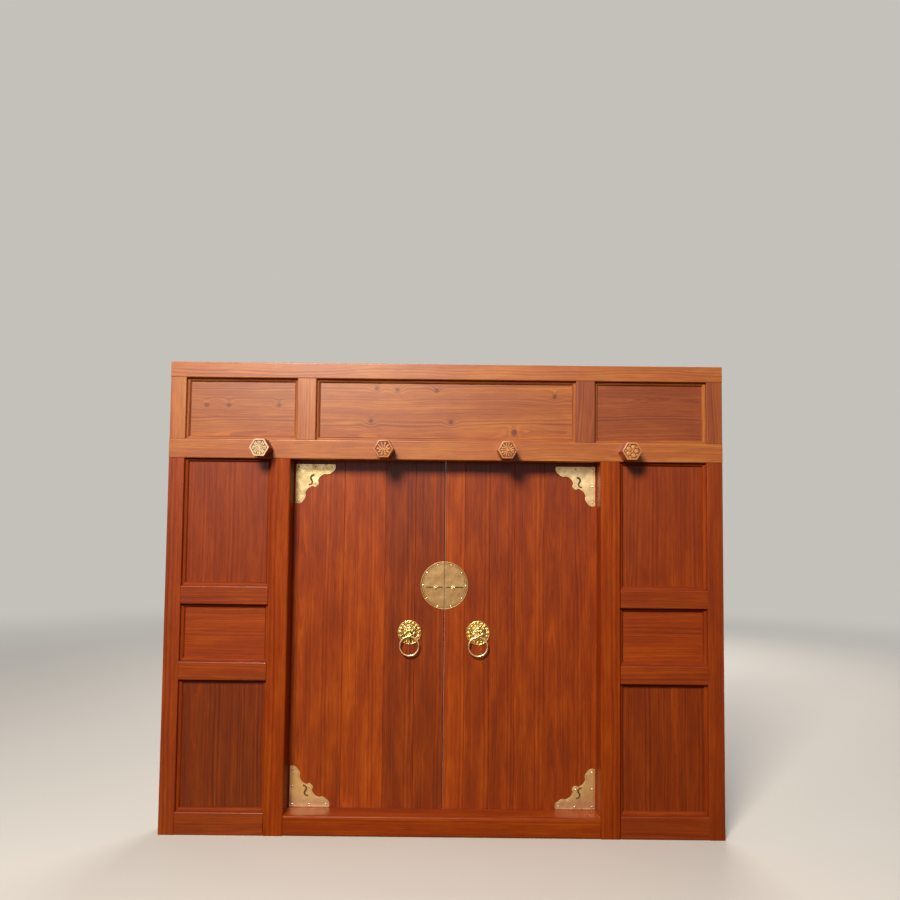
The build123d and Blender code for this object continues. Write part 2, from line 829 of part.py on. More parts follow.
corner_nails = [
    (nail_inset, nail_inset),
    (corner_leg - nail_inset * 1.3, nail_inset * 1.1),
    (nail_inset * 1.1, corner_leg - nail_inset * 1.3),
    (corner_leg / 2, nail_inset),
    (nail_inset, corner_leg / 2),
    (corner_cusp - nail_inset, corner_cusp - nail_inset),
]
lower_corner = (-corner_outer, threshold_height + corner_foot_gap)
upper_corner = (-corner_outer, middle_rail_bottom - corner_head_gap)
lock_nail_ring = lock_plate_radius - lock_plate_rim - 1.5 * nail_radius
lock_nail_angles = [radians(108 + 36 * i) for i in range(5)]
nail_places = [
    *[(lower_corner[0] + u, lower_corner[1] + v) for u, v in corner_nails],
    *[(upper_corner[0] + u, upper_corner[1] - v) for u, v in corner_nails],
    *[
        (lock_nail_ring * cos(turn), lock_plate_height + lock_nail_ring * sin(turn))
        for turn in lock_nail_angles
    ],
]
nails = [nail.part.moved(on_front(x, plate_front, z)) for x, z in nail_places]
save_pair("nails", group(nails))


# Bar that slides behind the leaves: two brackets on the left leaf, a keeper on the right one
bar_y = (board_back + bracket_wall, board_back + bracket_wall + bar_depth)
bracket_bottom = batten_places[1] + batten_height / 2 + bar_batten_gap
bar_z = centred((bracket_bottom, bracket_bottom + bracket_height), bar_height)
bar_end = -leaf_edge - bar_end_gap
near_bracket = -leaf_edge - bracket_edge_gap
grip_left = near_bracket - bracket_width - grip_play - bar_travel - grip_width
far_bracket = grip_left - grip_play
with BuildPart() as sliding_bar:
    block((bar_end - bar_length, bar_end), bar_y, bar_z)
    block((grip_left, grip_left + grip_width), (bar_y[1], bar_y[1] + grip_reach), bar_z)
    chamfer(sliding_bar.faces().sort_by(Axis.X)[-1].edges(), length=keeper_play)
save("sliding_bar", sliding_bar.part)


def bracket(right_side, play, floor_play):
    """Make a wooden bracket with a through slot, its right-hand side at the given place."""
    sides = (right_side - bracket_width, right_side)
    slot_y = (bar_y[0] - play, bar_y[1] + play)
    slot_z = (bar_z[0] - floor_play, bar_z[1] + play)
    with BuildPart() as piece:
        block(sides, (board_back, bar_y[1] + bracket_wall), centred(bar_z, bracket_height))
        chamfer(piece.faces().sort_by(Axis.Y)[-1].edges().filter_by(Axis.X), length=bracket_wall / 2)
        block(sides, slot_y, slot_z, mode=Mode.SUBTRACT)
    return piece.part


# The bar lies on the floors of its two brackets, and enters the keeper clear of it all round
near_part = bracket(near_bracket, bar_play, 0)
far_part = bracket(far_bracket, bar_play, 0)
save("bar_brackets", group([near_part, far_part]))
save("bar_keeper", bracket(leaf_edge + bracket_edge_gap + bracket_width, keeper_play, keeper_play))
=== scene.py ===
"""Temple door: two plank leaves in a jointed timber frame, dressed for a soft studio picture.

Every finish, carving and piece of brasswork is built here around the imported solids, in metres, with
+X to the right seen from the front, +Y from the front to the back and +Z up.
"""
import logging
import math
import random
from collections.abc import Callable, Iterator, Sequence
from contextlib import contextmanager
from dataclasses import dataclass, field, replace
from enum import Enum
from typing import Union

import bpy
from mathutils import Matrix, Vector


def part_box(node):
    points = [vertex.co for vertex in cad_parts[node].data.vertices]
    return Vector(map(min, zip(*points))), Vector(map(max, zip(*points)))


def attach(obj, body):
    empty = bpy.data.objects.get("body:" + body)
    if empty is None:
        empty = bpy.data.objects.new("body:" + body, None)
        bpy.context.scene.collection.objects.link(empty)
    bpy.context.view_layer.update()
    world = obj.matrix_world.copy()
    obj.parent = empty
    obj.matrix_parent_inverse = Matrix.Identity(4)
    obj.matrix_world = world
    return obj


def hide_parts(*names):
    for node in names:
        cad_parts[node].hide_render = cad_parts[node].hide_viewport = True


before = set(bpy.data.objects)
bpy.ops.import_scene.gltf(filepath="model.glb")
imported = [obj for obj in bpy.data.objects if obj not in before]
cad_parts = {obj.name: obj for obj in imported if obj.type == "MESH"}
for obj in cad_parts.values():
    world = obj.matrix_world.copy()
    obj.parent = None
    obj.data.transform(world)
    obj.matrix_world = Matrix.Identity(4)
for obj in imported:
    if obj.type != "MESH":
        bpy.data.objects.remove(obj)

log = logging.getLogger("temple_door")

Tree = bpy.types.NodeTree
Piece = bpy.types.Object
Source = Union[bpy.types.Node, bpy.types.NodeSocket, float]
Point = tuple[float, float, float]
Outline = list[tuple[float, float]]
Shade = Union[str, float, Point]

MM = 0.001
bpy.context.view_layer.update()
MIRROR = Matrix.Scale(-1, 4, (1, 0, 0))


def linear(hex_colour: str) -> tuple[float, float, float, float]:
    """Turn an sRGB hex colour into linear light.

    Args:
        hex_colour: colour as #rrggbb.

    Returns:
        Linear red, green, blue and an alpha of 1.
    """
    channels = [int(hex_colour[i:i + 2], 16) / 255 for i in (1, 3, 5)]
    light = [c / 12.92 if c <= 0.04045 else ((c + 0.055) / 1.055) ** 2.4 for c in channels]
    return (*light, 1.0)


def as_colour(value: Shade) -> tuple[float, float, float, float]:
    """Read a ramp's colour.

    Args:
        value: a hex colour, a grey or three plain numbers.

    Returns:
        Red, green, blue and an alpha of 1.
    """
    if isinstance(value, str):
        return linear(value)
    return (*value, 1.0) if isinstance(value, tuple) else (value, value, value, 1.0)


def add(tree: Tree, kind: str, inputs: dict | Sequence = (),
        stops: Sequence[tuple[float, Shade]] = (), **settings: object) -> bpy.types.Node:
    """Add a shader node with its settings, values and links.

    Args:
        tree: node tree that gets the node.
        kind: the node's type, without the ShaderNode before it.
        inputs: what feeds each input, in their order or by name or number: a value, a hex colour,
            a socket, or a node for its first output.
        stops: places and colours of a ramp.
        **settings: properties of the node itself.

    Returns:
        The new node.
    """
    node = tree.nodes.new("ShaderNode" + kind)
    for name, value in settings.items():
        setattr(node, name, value)
    for i, (place, colour) in enumerate(stops):
        elements = node.color_ramp.elements
        stop = elements[i] if i < 2 else elements.new(place)
        stop.position = place
        stop.color = as_colour(colour)
    for key, value in inputs.items() if isinstance(inputs, dict) else enumerate(inputs):
        if isinstance(value, bpy.types.Node):
            value = value.outputs[0]
        if isinstance(value, bpy.types.NodeSocket):
            tree.links.new(value, node.inputs[key])
        else:
            node.inputs[key].default_value = linear(value) if isinstance(value, str) else value
    return node


def weighed(tree: Tree, start: Source, *parts: tuple[Source, float]) -> Source:
    """Add several patterns to a start value, each by its own weight.

    Args:
        tree: node tree that does it.
        start: what they are added to.
        *parts: each pattern with its weight.

    Returns:
        The sum.
    """
    for part, weight in parts:
        start = add(tree, "Math", (part, weight, start), operation="MULTIPLY_ADD")
    return start


def new_material(name: str) -> tuple[bpy.types.Material, Tree]:
    """Make a material with an empty node tree.

    Args:
        name: the material's name.

    Returns:
        The material and its tree.
    """
    material = bpy.data.materials.new(name)
    material.use_nodes = True
    material.node_tree.nodes.clear()
    return material, material.node_tree


class Run(Enum):
    """Axes across, deep into and along a timber, by the way that its grain runs."""

    UPRIGHT = ("X", "Y", "Z")
    LEVEL = ("Z", "Y", "X")
    THROUGH = ("X", "Z", "Y")


@dataclass(frozen=True)
class Knot:
    """A knot on a board's face: its place across and along the grain, and its radius."""

    across: float
    along: float
    radius: float


@dataclass(frozen=True)
class Cut:
    """How one timber was sawn from its log.

    Slit shade boxes list the places behind the brasswork's slits that get painted shade, by their
    nearest and farthest x on either side, and lowest and highest z. Boards lists each board's far edge and
    tone.
    """

    run: Run
    middle: float
    face: float
    heart_across: float
    heart_deep: float
    slip: float
    tone: float = 0.5
    slit_shade_boxes: tuple[tuple[float, float, float, float], ...] = ()
    boards: tuple[tuple[float, float], ...] = ()
    knots: tuple[Knot, ...] = ()


@dataclass(frozen=True)
class StainedElm:
    """Elm, planed, stained red-brown and varnished.

    Elm is ring porous: its wide dark rings of pores draw cathedral arches on a flat-sawn face and
    straight stripes on a quarter-sawn one. The stain soaks into the pores, and the varnish lays a
    thin soft gloss over it, which pales the wood where it faces bright sky.
    """

    name: str
    light: str = "#c0530c"
    mid: str = "#8f3506"
    dark: str = "#451504"
    # painted shade for the wood seen through the brasswork's slits
    slit_shade_colour: str = "#140803"
    ring: float = 6 * MM
    fibre: float = 12 * MM
    pore: float = 3 * MM
    contrast: float = 0.5
    wander: float = 0.06
    sway: float = 625 * MM
    blotch: float = 0.3
    blotch_size: float = 95 * MM
    roughness: float = 0.5
    sheen: float = 0.12
    coat: float = 0.62
    haze: float = 0.26
    sunk_face: float | None = None
    sunk_depth: float = 8 * MM
    # painted shade for a carving's sunk ground, and a flank colour that is partly stain and partly painted
    # shade
    ground: str = "#4a2010"
    flank_stain_and_shade: str = "#c08a70"

    def material(self, cut: Cut) -> bpy.types.Material:
        """Build the finish for one timber.

        Args:
            cut: how the timber was sawn.

        Returns:
            The material.
        """
        material, tree = new_material(self.name)
        place = add(tree, "TexCoord").outputs["Object"]
        axes = add(tree, "SeparateXYZ", (place,)).outputs
        across, deep, along = (axes[axis] for axis in cut.run.value)
        across, tone, slip = self._board(tree, across, cut)
        along = add(tree, "Math", (along, slip), operation="ADD")
        deep = add(tree, "Math", (deep, cut.face), operation="SUBTRACT")
        rings, knots = self._rings(tree, (across, deep, along), cut)
        colour, fibres, pores = self._colour(tree, (across, deep, along), rings, tone, knots)
        if self.sunk_face is not None:
            colour = self._carving(tree, colour, axes[1])
        # painted shade on the boards behind the brasswork's slits
        if cut.slit_shade_boxes:
            colour = self._paint_slit_shade(tree, colour, axes, cut)
        rough = add(tree, "MapRange", {
            "Value": fibres, "To Min": self.roughness - 0.07, "To Max": self.roughness + 0.1})
        relief = weighed(tree, 0.0, (fibres, 0.4), (pores, -0.6), (rings, 0.25))
        bump = add(tree, "Bump", {"Height": relief, "Strength": 0.55, "Distance": 1.2 * MM})
        shader = add(tree, "BsdfPrincipled", {
            "Base Color": colour, "Roughness": rough, "IOR": 1.5, "Specular IOR Level": self.sheen,
            "Coat Weight": self.coat, "Coat Roughness": self.haze, "Normal": bump})
        add(tree, "OutputMaterial", (shader,))
        return material

    def _carving(self, tree: Tree, colour: Source, deep: Source) -> Source:
        """Paint shade on the ground of a carving, and darken the flanks behind its face with a stain that
        also paints their shade.

        Args:
            tree: the material's tree.
            colour: the wood's colour.
            deep: place from front to back.

        Returns:
            The colour with its painted shade and darkened flanks.
        """
        floor, rear = self.sunk_face + self.sunk_depth, self.sunk_face + 2 * self.sunk_depth
        ground = add(tree, "MapRange", {
            "Value": deep, "From Min": self.sunk_face + 0.32 * self.sunk_depth, "From Max": floor,
            "To Max": 0.7})
        head = add(tree, "Math", (deep, rear), operation="LESS_THAN")
        share = add(tree, "Math", (ground, head), operation="MULTIPLY")
        colour = add(tree, "Mix", {0: share, 6: colour, 7: self.ground}, data_type="RGBA").outputs[2]
        flank = add(tree, "MapRange", {"Value": deep, "From Min": floor, "From Max": rear})
        return add(tree, "Mix", {0: flank, 6: colour, 7: self.flank_stain_and_shade},
                   data_type="RGBA", blend_type="MULTIPLY").outputs[2]

    def _paint_slit_shade(self, tree: Tree, colour: Source, axes: bpy.types.NodeOutputs, cut: Cut) -> Source:
        """Paint shade on the wood behind the slits of the brasswork, so that the slits read dark.

        Args:
            tree: the material's tree.
            colour: the wood's colour.
            axes: the place's three coordinates.
            cut: lists the dark places.

        Returns:
            The colour with its painted shade.
        """
        aside = add(tree, "Math", (axes[0],), operation="ABSOLUTE")
        for near, far, low, high in cut.slit_shade_boxes:
            wide = add(tree, "Math", (aside, (near + far) / 2, (far - near) / 2), operation="COMPARE")
            tall = add(tree, "Math", (axes[2], (low + high) / 2, (high - low) / 2), operation="COMPARE")
            inside = add(tree, "Math", (wide, tall), operation="MULTIPLY")
            colour = add(tree, "Mix", {0: inside, 6: colour, 7: self.slit_shade_colour},
                         data_type="RGBA").outputs[2]
        return colour

    def _board(self, tree: Tree, across: Source, cut: Cut) -> tuple[Source, Source, Source]:
        """Find which board a point is on, with its middle, its tone and its place along the log.

        Args:
            tree: the material's tree.
            across: place across the grain.
            cut: how the timber was sawn.

        Returns:
            Place across from the board's middle, the board's tone, and its slip along the grain.
        """
        if not cut.boards:
            return add(tree, "Math", (across, cut.middle), operation="SUBTRACT"), cut.tone, cut.slip
        stops = []
        near = cut.middle
        for i, (far, tone) in enumerate(cut.boards):
            stops.append(((near + 1) / 2, (((near + far) / 2 + 1) / 2, tone, (i * 0.37) % 1.0)))
            near = far
        scaled = weighed(tree, 0.5, (across, 0.5))
        ramp = add(tree, "ValToRGB", (scaled,), stops=stops)
        ramp.color_ramp.interpolation = "CONSTANT"
        middle, tone, slip = add(tree, "SeparateColor", (ramp,)).outputs
        middle = weighed(tree, -1.0, (middle, 2.0))
        offset = add(tree, "Math", (across, middle), operation="SUBTRACT")
        return offset, tone, weighed(tree, cut.slip, (slip, 9.0))

    def _rings(self, tree: Tree, place: Sequence[Source], cut: Cut) -> tuple[Source, Source]:
        """Draw growth rings round a heart that wanders along the log, bent round any knots.

        Args:
            tree: the material's tree.
            place: sockets across, deep and along.
            cut: how the timber was sawn.

        Returns:
            The ring pattern and the darkness of the knots, both from 0 to 1.
        """
        across, deep, along = place
        stretched = add(tree, "CombineXYZ", [
            add(tree, "Math", (axis, scale), operation="MULTIPLY")
            for axis, scale in ((across, 2.4), (deep, 2.4), (along, 0.5))])
        wander = add(tree, "TexNoise", {
            "Vector": stretched, "Scale": 1 / self.sway, "Detail": 2.0, "Roughness": 0.5}).outputs["Color"]
        drift = add(tree, "SeparateColor", (wander,)).outputs
        heart = [weighed(tree, middle - self.wander / 2, (shift, self.wander))
                 for shift, middle in zip(drift, (cut.heart_across, cut.heart_deep))]
        out = add(tree, "CombineXYZ", [
            add(tree, "Math", pair, operation="ADD") for pair in zip((across, deep), heart)])
        radius = add(tree, "VectorMath", (out,), operation="LENGTH").outputs["Value"]
        shade = 0.0
        for knot in cut.knots:
            flat = add(tree, "CombineXYZ", (across, along))
            gap = add(tree, "VectorMath", (flat, (knot.across, knot.along + cut.slip, 0.0)),
                      operation="DISTANCE").outputs["Value"]
            near = add(tree, "Math", (gap, knot.radius), operation="DIVIDE")
            square = add(tree, "Math", (near, near), operation="MULTIPLY")
            pull, core = (
                add(tree, "Math", (add(tree, "Math", (square, fall), operation="MULTIPLY"),),
                    operation="EXPONENT") for fall in (-0.16, -1.1))
            radius = weighed(tree, radius, (pull, 1.9 * knot.radius))
            shade = add(tree, "Math", (shade, core), operation="MAXIMUM")
        count = add(tree, "Math", (radius, self.ring), operation="DIVIDE")
        broad = add(tree, "TexNoise", {"W": count, "Scale": 0.5, "Detail": 5.0, "Roughness": 0.7},
                    noise_dimensions="1D")
        fine = add(tree, "Math", (count,), operation="FRACT")
        band = add(tree, "Math", (fine, 3.0), operation="POWER")
        pattern = weighed(tree, -0.7, (broad, 2.1), (band, 0.32))
        return add(tree, "Clamp", (pattern,)), shade

    def _colour(self, tree: Tree, place: Sequence[Source], rings: Source, tone: Source,
                knots: Source) -> tuple[Source, Source, Source]:
        """Colour the wood from its rings, fibres, pores and the board's own tone.

        Args:
            tree: the material's tree.
            place: sockets across, deep and along.
            rings: ring pattern.
            tone: tone of the board, 0.5 being the middle.
            knots: darkness of the knots.

        Returns:
            The colour, the fibre pattern and the pore pattern.
        """
        across, deep, along = place
        fibres, pore_noise, blotch = (
            add(tree, "TexNoise", {
                "Vector": add(tree, "CombineXYZ", (
                    across, deep, add(tree, "Math", (along, squeeze), operation="MULTIPLY"))),
                "Scale": 1 / size, "Detail": detail, "Roughness": rough})
            for squeeze, size, detail, rough in (
                (0.018, self.fibre, 6.0, 0.72), (0.03, self.pore, 1.0, 0.5),
                (0.16, self.blotch_size, 3.0, 0.6)))
        pores = add(tree, "ValToRGB", (pore_noise,), stops=((0.54, 0.0), (0.68, 1.0)))
        even = 0.62 - self.contrast * (0.55 * 0.45 + 0.5 * 0.5) - self.blotch * 0.5 + 0.45
        mixed = weighed(
            tree, even, (rings, 0.55 * self.contrast), (fibres, 0.5 * self.contrast),
            (blotch, self.blotch), (tone, -0.9), (knots, 0.5))
        ramp = add(tree, "ValToRGB", (mixed,), stops=(
            (0.25, self.light), (0.62, self.mid), (1.0, self.dark)))
        soaked = add(tree, "Math", (pores, 0.3), operation="MULTIPLY")
        stained = add(tree, "Mix", {0: soaked, 6: ramp, 7: self.dark}, data_type="RGBA").outputs[2]
        thin_stain = add(tree, "MapRange", {
            "Value": blotch, "From Min": 0.58, "From Max": 0.36, "To Max": 0.75,
        }, interpolation_type="SMOOTHSTEP")
        glowing = add(tree, "Mix", {0: thin_stain, 6: stained, 7: (1.14, 1.34, 1.0, 1.0)},
                      data_type="RGBA", blend_type="MULTIPLY").outputs[2]
        return glowing, fibres, pores


@dataclass(frozen=True)
class PaintedSunlitCarving(StainedElm):
    """End grain of elm painted pale cream: painted sunlight on the one pin face that the sun reaches."""

    name: str = "elm_carving_painted_sunlight"
    light: str = "#f8dece"
    mid: str = "#e8bea4"
    dark: str = "#8a4e34"
    ground: str = "#5c2c1c"
    flank_stain_and_shade: str = "#a05c3c"
    coat: float = 0.1


@dataclass(frozen=True)
class YellowBrass:
    """Yellow brass sheet or casting, rubbed bright on its high places.

    The metal takes the colour of whatever it mirrors; in its hollows and where hands never reach,
    it keeps a brown film that is rougher and darker. Strokes are the marks of a brush, and dents
    the slow waves of sheet that was beaten flat.
    """

    name: str
    bright: str = "#e8c878"
    film: str = "#5a3c16"
    roughness: float = 0.2
    film_share: float = 0.45
    cloud: float = 28 * MM
    grain: Point = (1.0, 1.0, 1.0)
    grain_size: float = 1.4 * MM
    grain_depth: float = 0.15
    hollows: bool = False
    hollow_film: float = 0.7
    sunk_face: float | None = None
    proud_face: float | None = None
    dents: float = 0.0
    dent_size: float = 45 * MM
    strokes: float = 0.0
    stroke_width: float = 11 * MM

    def material(self) -> bpy.types.Material:
        """Build the finish.

        Returns:
            The material.
        """
        material, tree = new_material(self.name)
        place = add(tree, "TexCoord").outputs["Object"]
        film = self._film(tree, place)
        colour = add(tree, "Mix", {0: film, 6: self.bright, 7: self.film}, data_type="RGBA").outputs[2]
        rough = add(tree, "MapRange", {
            "Value": film, "To Min": self.roughness, "To Max": self.roughness + 0.25})
        drawn = add(tree, "Mapping", {"Vector": place, "Scale": self.grain})
        marks = add(tree, "TexNoise", {"Vector": drawn, "Scale": 1 / self.grain_size, "Detail": 3.0})
        bump = add(tree, "Bump", {"Height": marks, "Strength": self.grain_depth, "Distance": 0.6 * MM})
        if self.dents:
            waves = add(tree, "TexNoise", {"Vector": place, "Scale": 1 / self.dent_size, "Detail": 1.0})
            bump = add(tree, "Bump", {
                "Height": waves, "Strength": 1.0, "Distance": self.dents, "Normal": bump})
        shader = add(tree, "BsdfPrincipled", {
            "Base Color": colour, "Metallic": 1.0, "Roughness": rough, "Normal": bump})
        add(tree, "OutputMaterial", (shader,))
        return material

    def _film(self, tree: Tree, place: Source) -> Source:
        """Spread the brown film in clouds, strokes, hollows and grooves.

        Args:
            tree: the material's tree.
            place: the point's place.

        Returns:
            How much film there is, from 0 to 1.
        """
        clouds = add(tree, "TexNoise", {
            "Vector": place, "Scale": 1 / self.cloud, "Detail": 5.0, "Roughness": 0.68})
        film = add(tree, "ValToRGB", (clouds,), stops=((0.48, 0.0), (0.72, 1.0)))
        film = add(tree, "Math", (film, self.film_share), operation="MULTIPLY")
        if self.hollows:
            bend = add(tree, "NewGeometry").outputs["Pointiness"]
            hollow = add(tree, "ValToRGB", (bend,), stops=((0.40, 1.0), (0.505, 0.0)))
            hollow = add(tree, "Math", (hollow, self.hollow_film), operation="MULTIPLY")
            film = add(tree, "Math", (film, hollow), operation="MAXIMUM")
        if self.strokes:
            along = add(tree, "Mapping", {"Vector": place, "Scale": (1.0, 1.0, 0.12)})
            stroke = add(tree, "TexNoise", {
                "Vector": along, "Scale": 1 / self.stroke_width, "Detail": 3.0, "Roughness": 0.7})
            stroke = add(tree, "MapRange", {"Value": stroke, "From Min": 0.45, "From Max": 0.7})
            film = weighed(tree, film, (stroke, self.strokes))
        deep = add(tree, "SeparateXYZ", (place,)).outputs[1]
        if self.sunk_face is not None:
            groove = add(tree, "MapRange", {
                "Value": deep, "From Min": self.sunk_face + 0.25 * MM,
                "From Max": self.sunk_face + 0.7 * MM, "To Max": 0.9})
            film = add(tree, "Math", (film, groove), operation="MAXIMUM")
        if self.proud_face is not None:
            dull = add(tree, "MapRange", {
                "Value": deep, "From Min": self.proud_face - 0.8 * MM,
                "From Max": self.proud_face - 0.2 * MM})
            film = add(tree, "Math", (film, dull), operation="MULTIPLY")
        return film


@dataclass(frozen=True)
class SandCastIron:
    """Cast iron from a sand mould: near black, dull, with the grit of the sand in its skin."""

    name: str = "sand_cast_iron"
    skin: str = "#2c2a28"
    rust: str = "#4a2c1c"
    grit: float = 1.6 * MM
    patch: float = 30 * MM

    def material(self) -> bpy.types.Material:
        """Build the finish.

        Returns:
            The material.
        """
        material, tree = new_material(self.name)
        place = add(tree, "TexCoord").outputs["Object"]
        grain = add(tree, "TexNoise", {"Vector": place, "Scale": 1 / self.grit, "Detail": 3.0})
        patches = add(tree, "TexNoise", {"Vector": place, "Scale": 1 / self.patch, "Detail": 4.0})
        colour = add(tree, "ValToRGB", (patches,), stops=((0.45, self.skin), (0.75, self.rust)))
        bump = add(tree, "Bump", {"Height": grain, "Strength": 0.5, "Distance": 0.8 * MM})
        shader = add(tree, "BsdfPrincipled", {
            "Base Color": colour, "Metallic": 0.6, "Roughness": 0.7, "Normal": bump})
        add(tree, "OutputMaterial", (shader,))
        return material


def deselect() -> None:
    """Leave edit mode and select nothing."""
    if bpy.context.mode != "OBJECT":
        bpy.ops.object.mode_set(mode="OBJECT")
    bpy.ops.object.select_all(action="DESELECT")


def pick(*objects: Piece) -> None:
    """Select these objects alone, the first one active."""
    deselect()
    for item in objects:
        item.select_set(True)
    bpy.context.view_layer.objects.active = objects[0]


def named(name: str) -> Piece:
    """Name the object that an operator has just added.

    Args:
        name: the object's name.

    Returns:
        The object.
    """
    new = bpy.context.view_layer.objects.active
    new.name = name
    new.data.name = name
    return new


def shape(operator: Callable[..., set[str]], name: str, **settings: object) -> Piece:
    """Add one of Blender's plain shapes.

    Args:
        operator: the operator that adds it.
        name: its name.
        **settings: what the operator takes.

    Returns:
        The shape.
    """
    deselect()
    operator(**settings)
    return named(name)


def mm(*sizes: float) -> tuple[float, ...]:
    """Turn millimetres into metres."""
    return tuple(size * MM for size in sizes)


def polar(reach: float, turn: float, height: float) -> Point:
    """Return a point by its distance from the axis, its angle in radians and its height."""
    return reach * math.cos(turn), reach * math.sin(turn), height


def ball(place: Point, radii: Point, turn: float = 0.0, detail: int = 20) -> Piece:
    """Add an egg-shaped lump of clay.

    Args:
        place: its middle, in millimetres.
        radii: its three radii, in millimetres.
        turn: turn about the outward axis, in degrees.
        detail: segments round it.

    Returns:
        The lump.
    """
    return shape(
        bpy.ops.mesh.primitive_uv_sphere_add, "lump", segments=detail, ring_count=detail // 2, radius=1,
        location=mm(*place), rotation=(0, 0, math.radians(turn)), scale=mm(*radii))


def settle(piece: Piece) -> Piece:
    """Put a piece's place, turn and scale into its mesh."""
    pick(piece)
    bpy.ops.object.transform_apply(location=True, rotation=True, scale=True)
    return piece


@contextmanager
def editing(piece: Piece, kind: str = "FACE",
            wanted: Callable[[object], bool] | None = None) -> Iterator[None]:
    """Open a piece's mesh, and close it again at the end.

    Args:
        piece: the piece.
        kind: FACE or EDGE, for what is selected.
        wanted: tells of a face or edge whether it is; without it, all of the mesh is.

    Yields:
        Nothing; the mesh is open meanwhile.
    """
    pick(piece)
    bpy.ops.object.mode_set(mode="EDIT")
    if wanted is None:
        bpy.ops.mesh.select_all(action="SELECT")
    else:
        bpy.ops.mesh.select_mode(type=kind)
        bpy.ops.mesh.select_all(action="DESELECT")
        bpy.ops.object.mode_set(mode="OBJECT")
        for item in piece.data.polygons if kind == "FACE" else piece.data.edges:
            item.select = wanted(item)
        bpy.ops.object.mode_set(mode="EDIT")
    yield
    bpy.ops.object.mode_set(mode="OBJECT")


def apply_modifier(piece: Piece, kind: str, **settings: object) -> None:
    """Add a modifier to a piece and apply it.

    Args:
        piece: the piece.
        kind: the modifier's type.
        **settings: the modifier's properties.
    """
    pick(piece)
    modifier = piece.modifiers.new(kind.lower(), kind)
    for name, value in settings.items():
        setattr(modifier, name, value)
    bpy.ops.object.modifier_apply(modifier=modifier.name)


def discard(*pieces: Piece) -> None:
    """Remove shapes that were only patterns or cutters."""
    for piece in pieces:
        bpy.data.objects.remove(piece, do_unlink=True)


def cut_away(piece: Piece, *cutters: Piece) -> None:
    """Cut some shapes out of a piece, one after another, and remove them."""
    for cutter in cutters:
        apply_modifier(piece, "BOOLEAN", object=cutter, operation="DIFFERENCE", solver="EXACT")
        discard(cutter)


def slice_off(piece: Piece, place: Point, outward: Point) -> None:
    """Cut a piece off flat and close the cut.

    Args:
        piece: the piece.
        place: a point on the cut.
        outward: which way what goes lies.
    """
    with editing(piece):
        bpy.ops.mesh.bisect(plane_co=place, plane_no=outward, use_fill=True, clear_outer=True)


def join(name: str, pieces: Sequence[Piece]) -> Piece:
    """Join several meshes into one piece.

    Args:
        name: name of the joined piece.
        pieces: the meshes.

    Returns:
        The joined piece.
    """
    for piece in pieces:
        settle(piece)
    pick(*pieces)
    if len(pieces) > 1:
        bpy.ops.object.join()
    return named(name)


def fuse(name: str, lumps: Sequence[Piece], voxel: float, smoothing: int) -> Piece:
    """Melt lumps of clay into one smooth skin.

    Args:
        name: name of the result.
        lumps: the lumps.
        voxel: fineness of the skin, in millimetres.
        smoothing: how often it is smoothed.

    Returns:
        The skin.
    """
    skin = join(name, lumps)
    apply_modifier(skin, "REMESH", mode="VOXEL", voxel_size=voxel * MM)
    apply_modifier(skin, "SMOOTH", factor=0.5, iterations=smoothing)
    return skin


def tidy_mesh(piece: Piece, crease: float = 35) -> Piece:
    """Clear doubled faces and points, turn every face outwards and shade the piece smooth.

    Args:
        piece: the piece.
        crease: angle in degrees past which an edge stays sharp.

    Returns:
        The piece.
    """
    piece.data.validate()
    with editing(piece):
        bpy.ops.mesh.remove_doubles(threshold=0.01 * MM)
        bpy.ops.mesh.normals_make_consistent(inside=False)
    bpy.ops.object.shade_smooth_by_angle(angle=math.radians(crease))
    return piece


def copy_of(piece: Piece, name: str, place: Matrix | None = None) -> Piece:
    """Copy a piece with its own mesh, moved by a matrix.

    Args:
        piece: what is copied.
        name: name of the copy.
        place: where the copy's mesh goes.

    Returns:
        The copy.
    """
    twin = piece.copy()
    twin.data = piece.data.copy()
    twin.name = name
    twin.data.name = name
    bpy.context.scene.collection.objects.link(twin)
    if place is not None:
        twin.data.transform(place)
        if place.determinant() < 0:
            twin.data.flip_normals()
    return twin


def on_front(x: float, y: float, z: float) -> Matrix:
    """Return the place of a fitting that faces the front, with its own +Z towards the viewer."""
    return Matrix.Translation((x, y, z)) @ Matrix.Rotation(math.radians(90), 4, "X")


def arc(start: tuple[float, float], via: tuple[float, float], end: tuple[float, float],
        steps: int) -> Outline:
    """Sample the arc through three points, without its last point.

    Args:
        start: first point.
        via: a point that the arc passes.
        end: last point.
        steps: how many stretches the arc is divided into.

    Returns:
        The points from start up to, but without, end.
    """
    (ax, ay), (bx, by), (cx, cy) = start, via, end
    turn = 2 * (ax * (by - cy) + bx * (cy - ay) + cx * (ay - by))
    squares = [x * x + y * y for x, y in (start, via, end)]
    ux = (squares[0] * (by - cy) + squares[1] * (cy - ay) + squares[2] * (ay - by)) / turn
    uy = (squares[0] * (cx - bx) + squares[1] * (ax - cx) + squares[2] * (bx - ax)) / turn
    radius = math.dist(start, (ux, uy))
    first, middle, last = (math.atan2(y - uy, x - ux) for x, y in (start, via, end))
    sweep = (last - first) % math.tau
    if (middle - first) % math.tau > sweep:
        sweep -= math.tau
    angles = [first + sweep * i / steps for i in range(steps)]
    return [(ux + radius * math.cos(a), uy + radius * math.sin(a)) for a in angles]


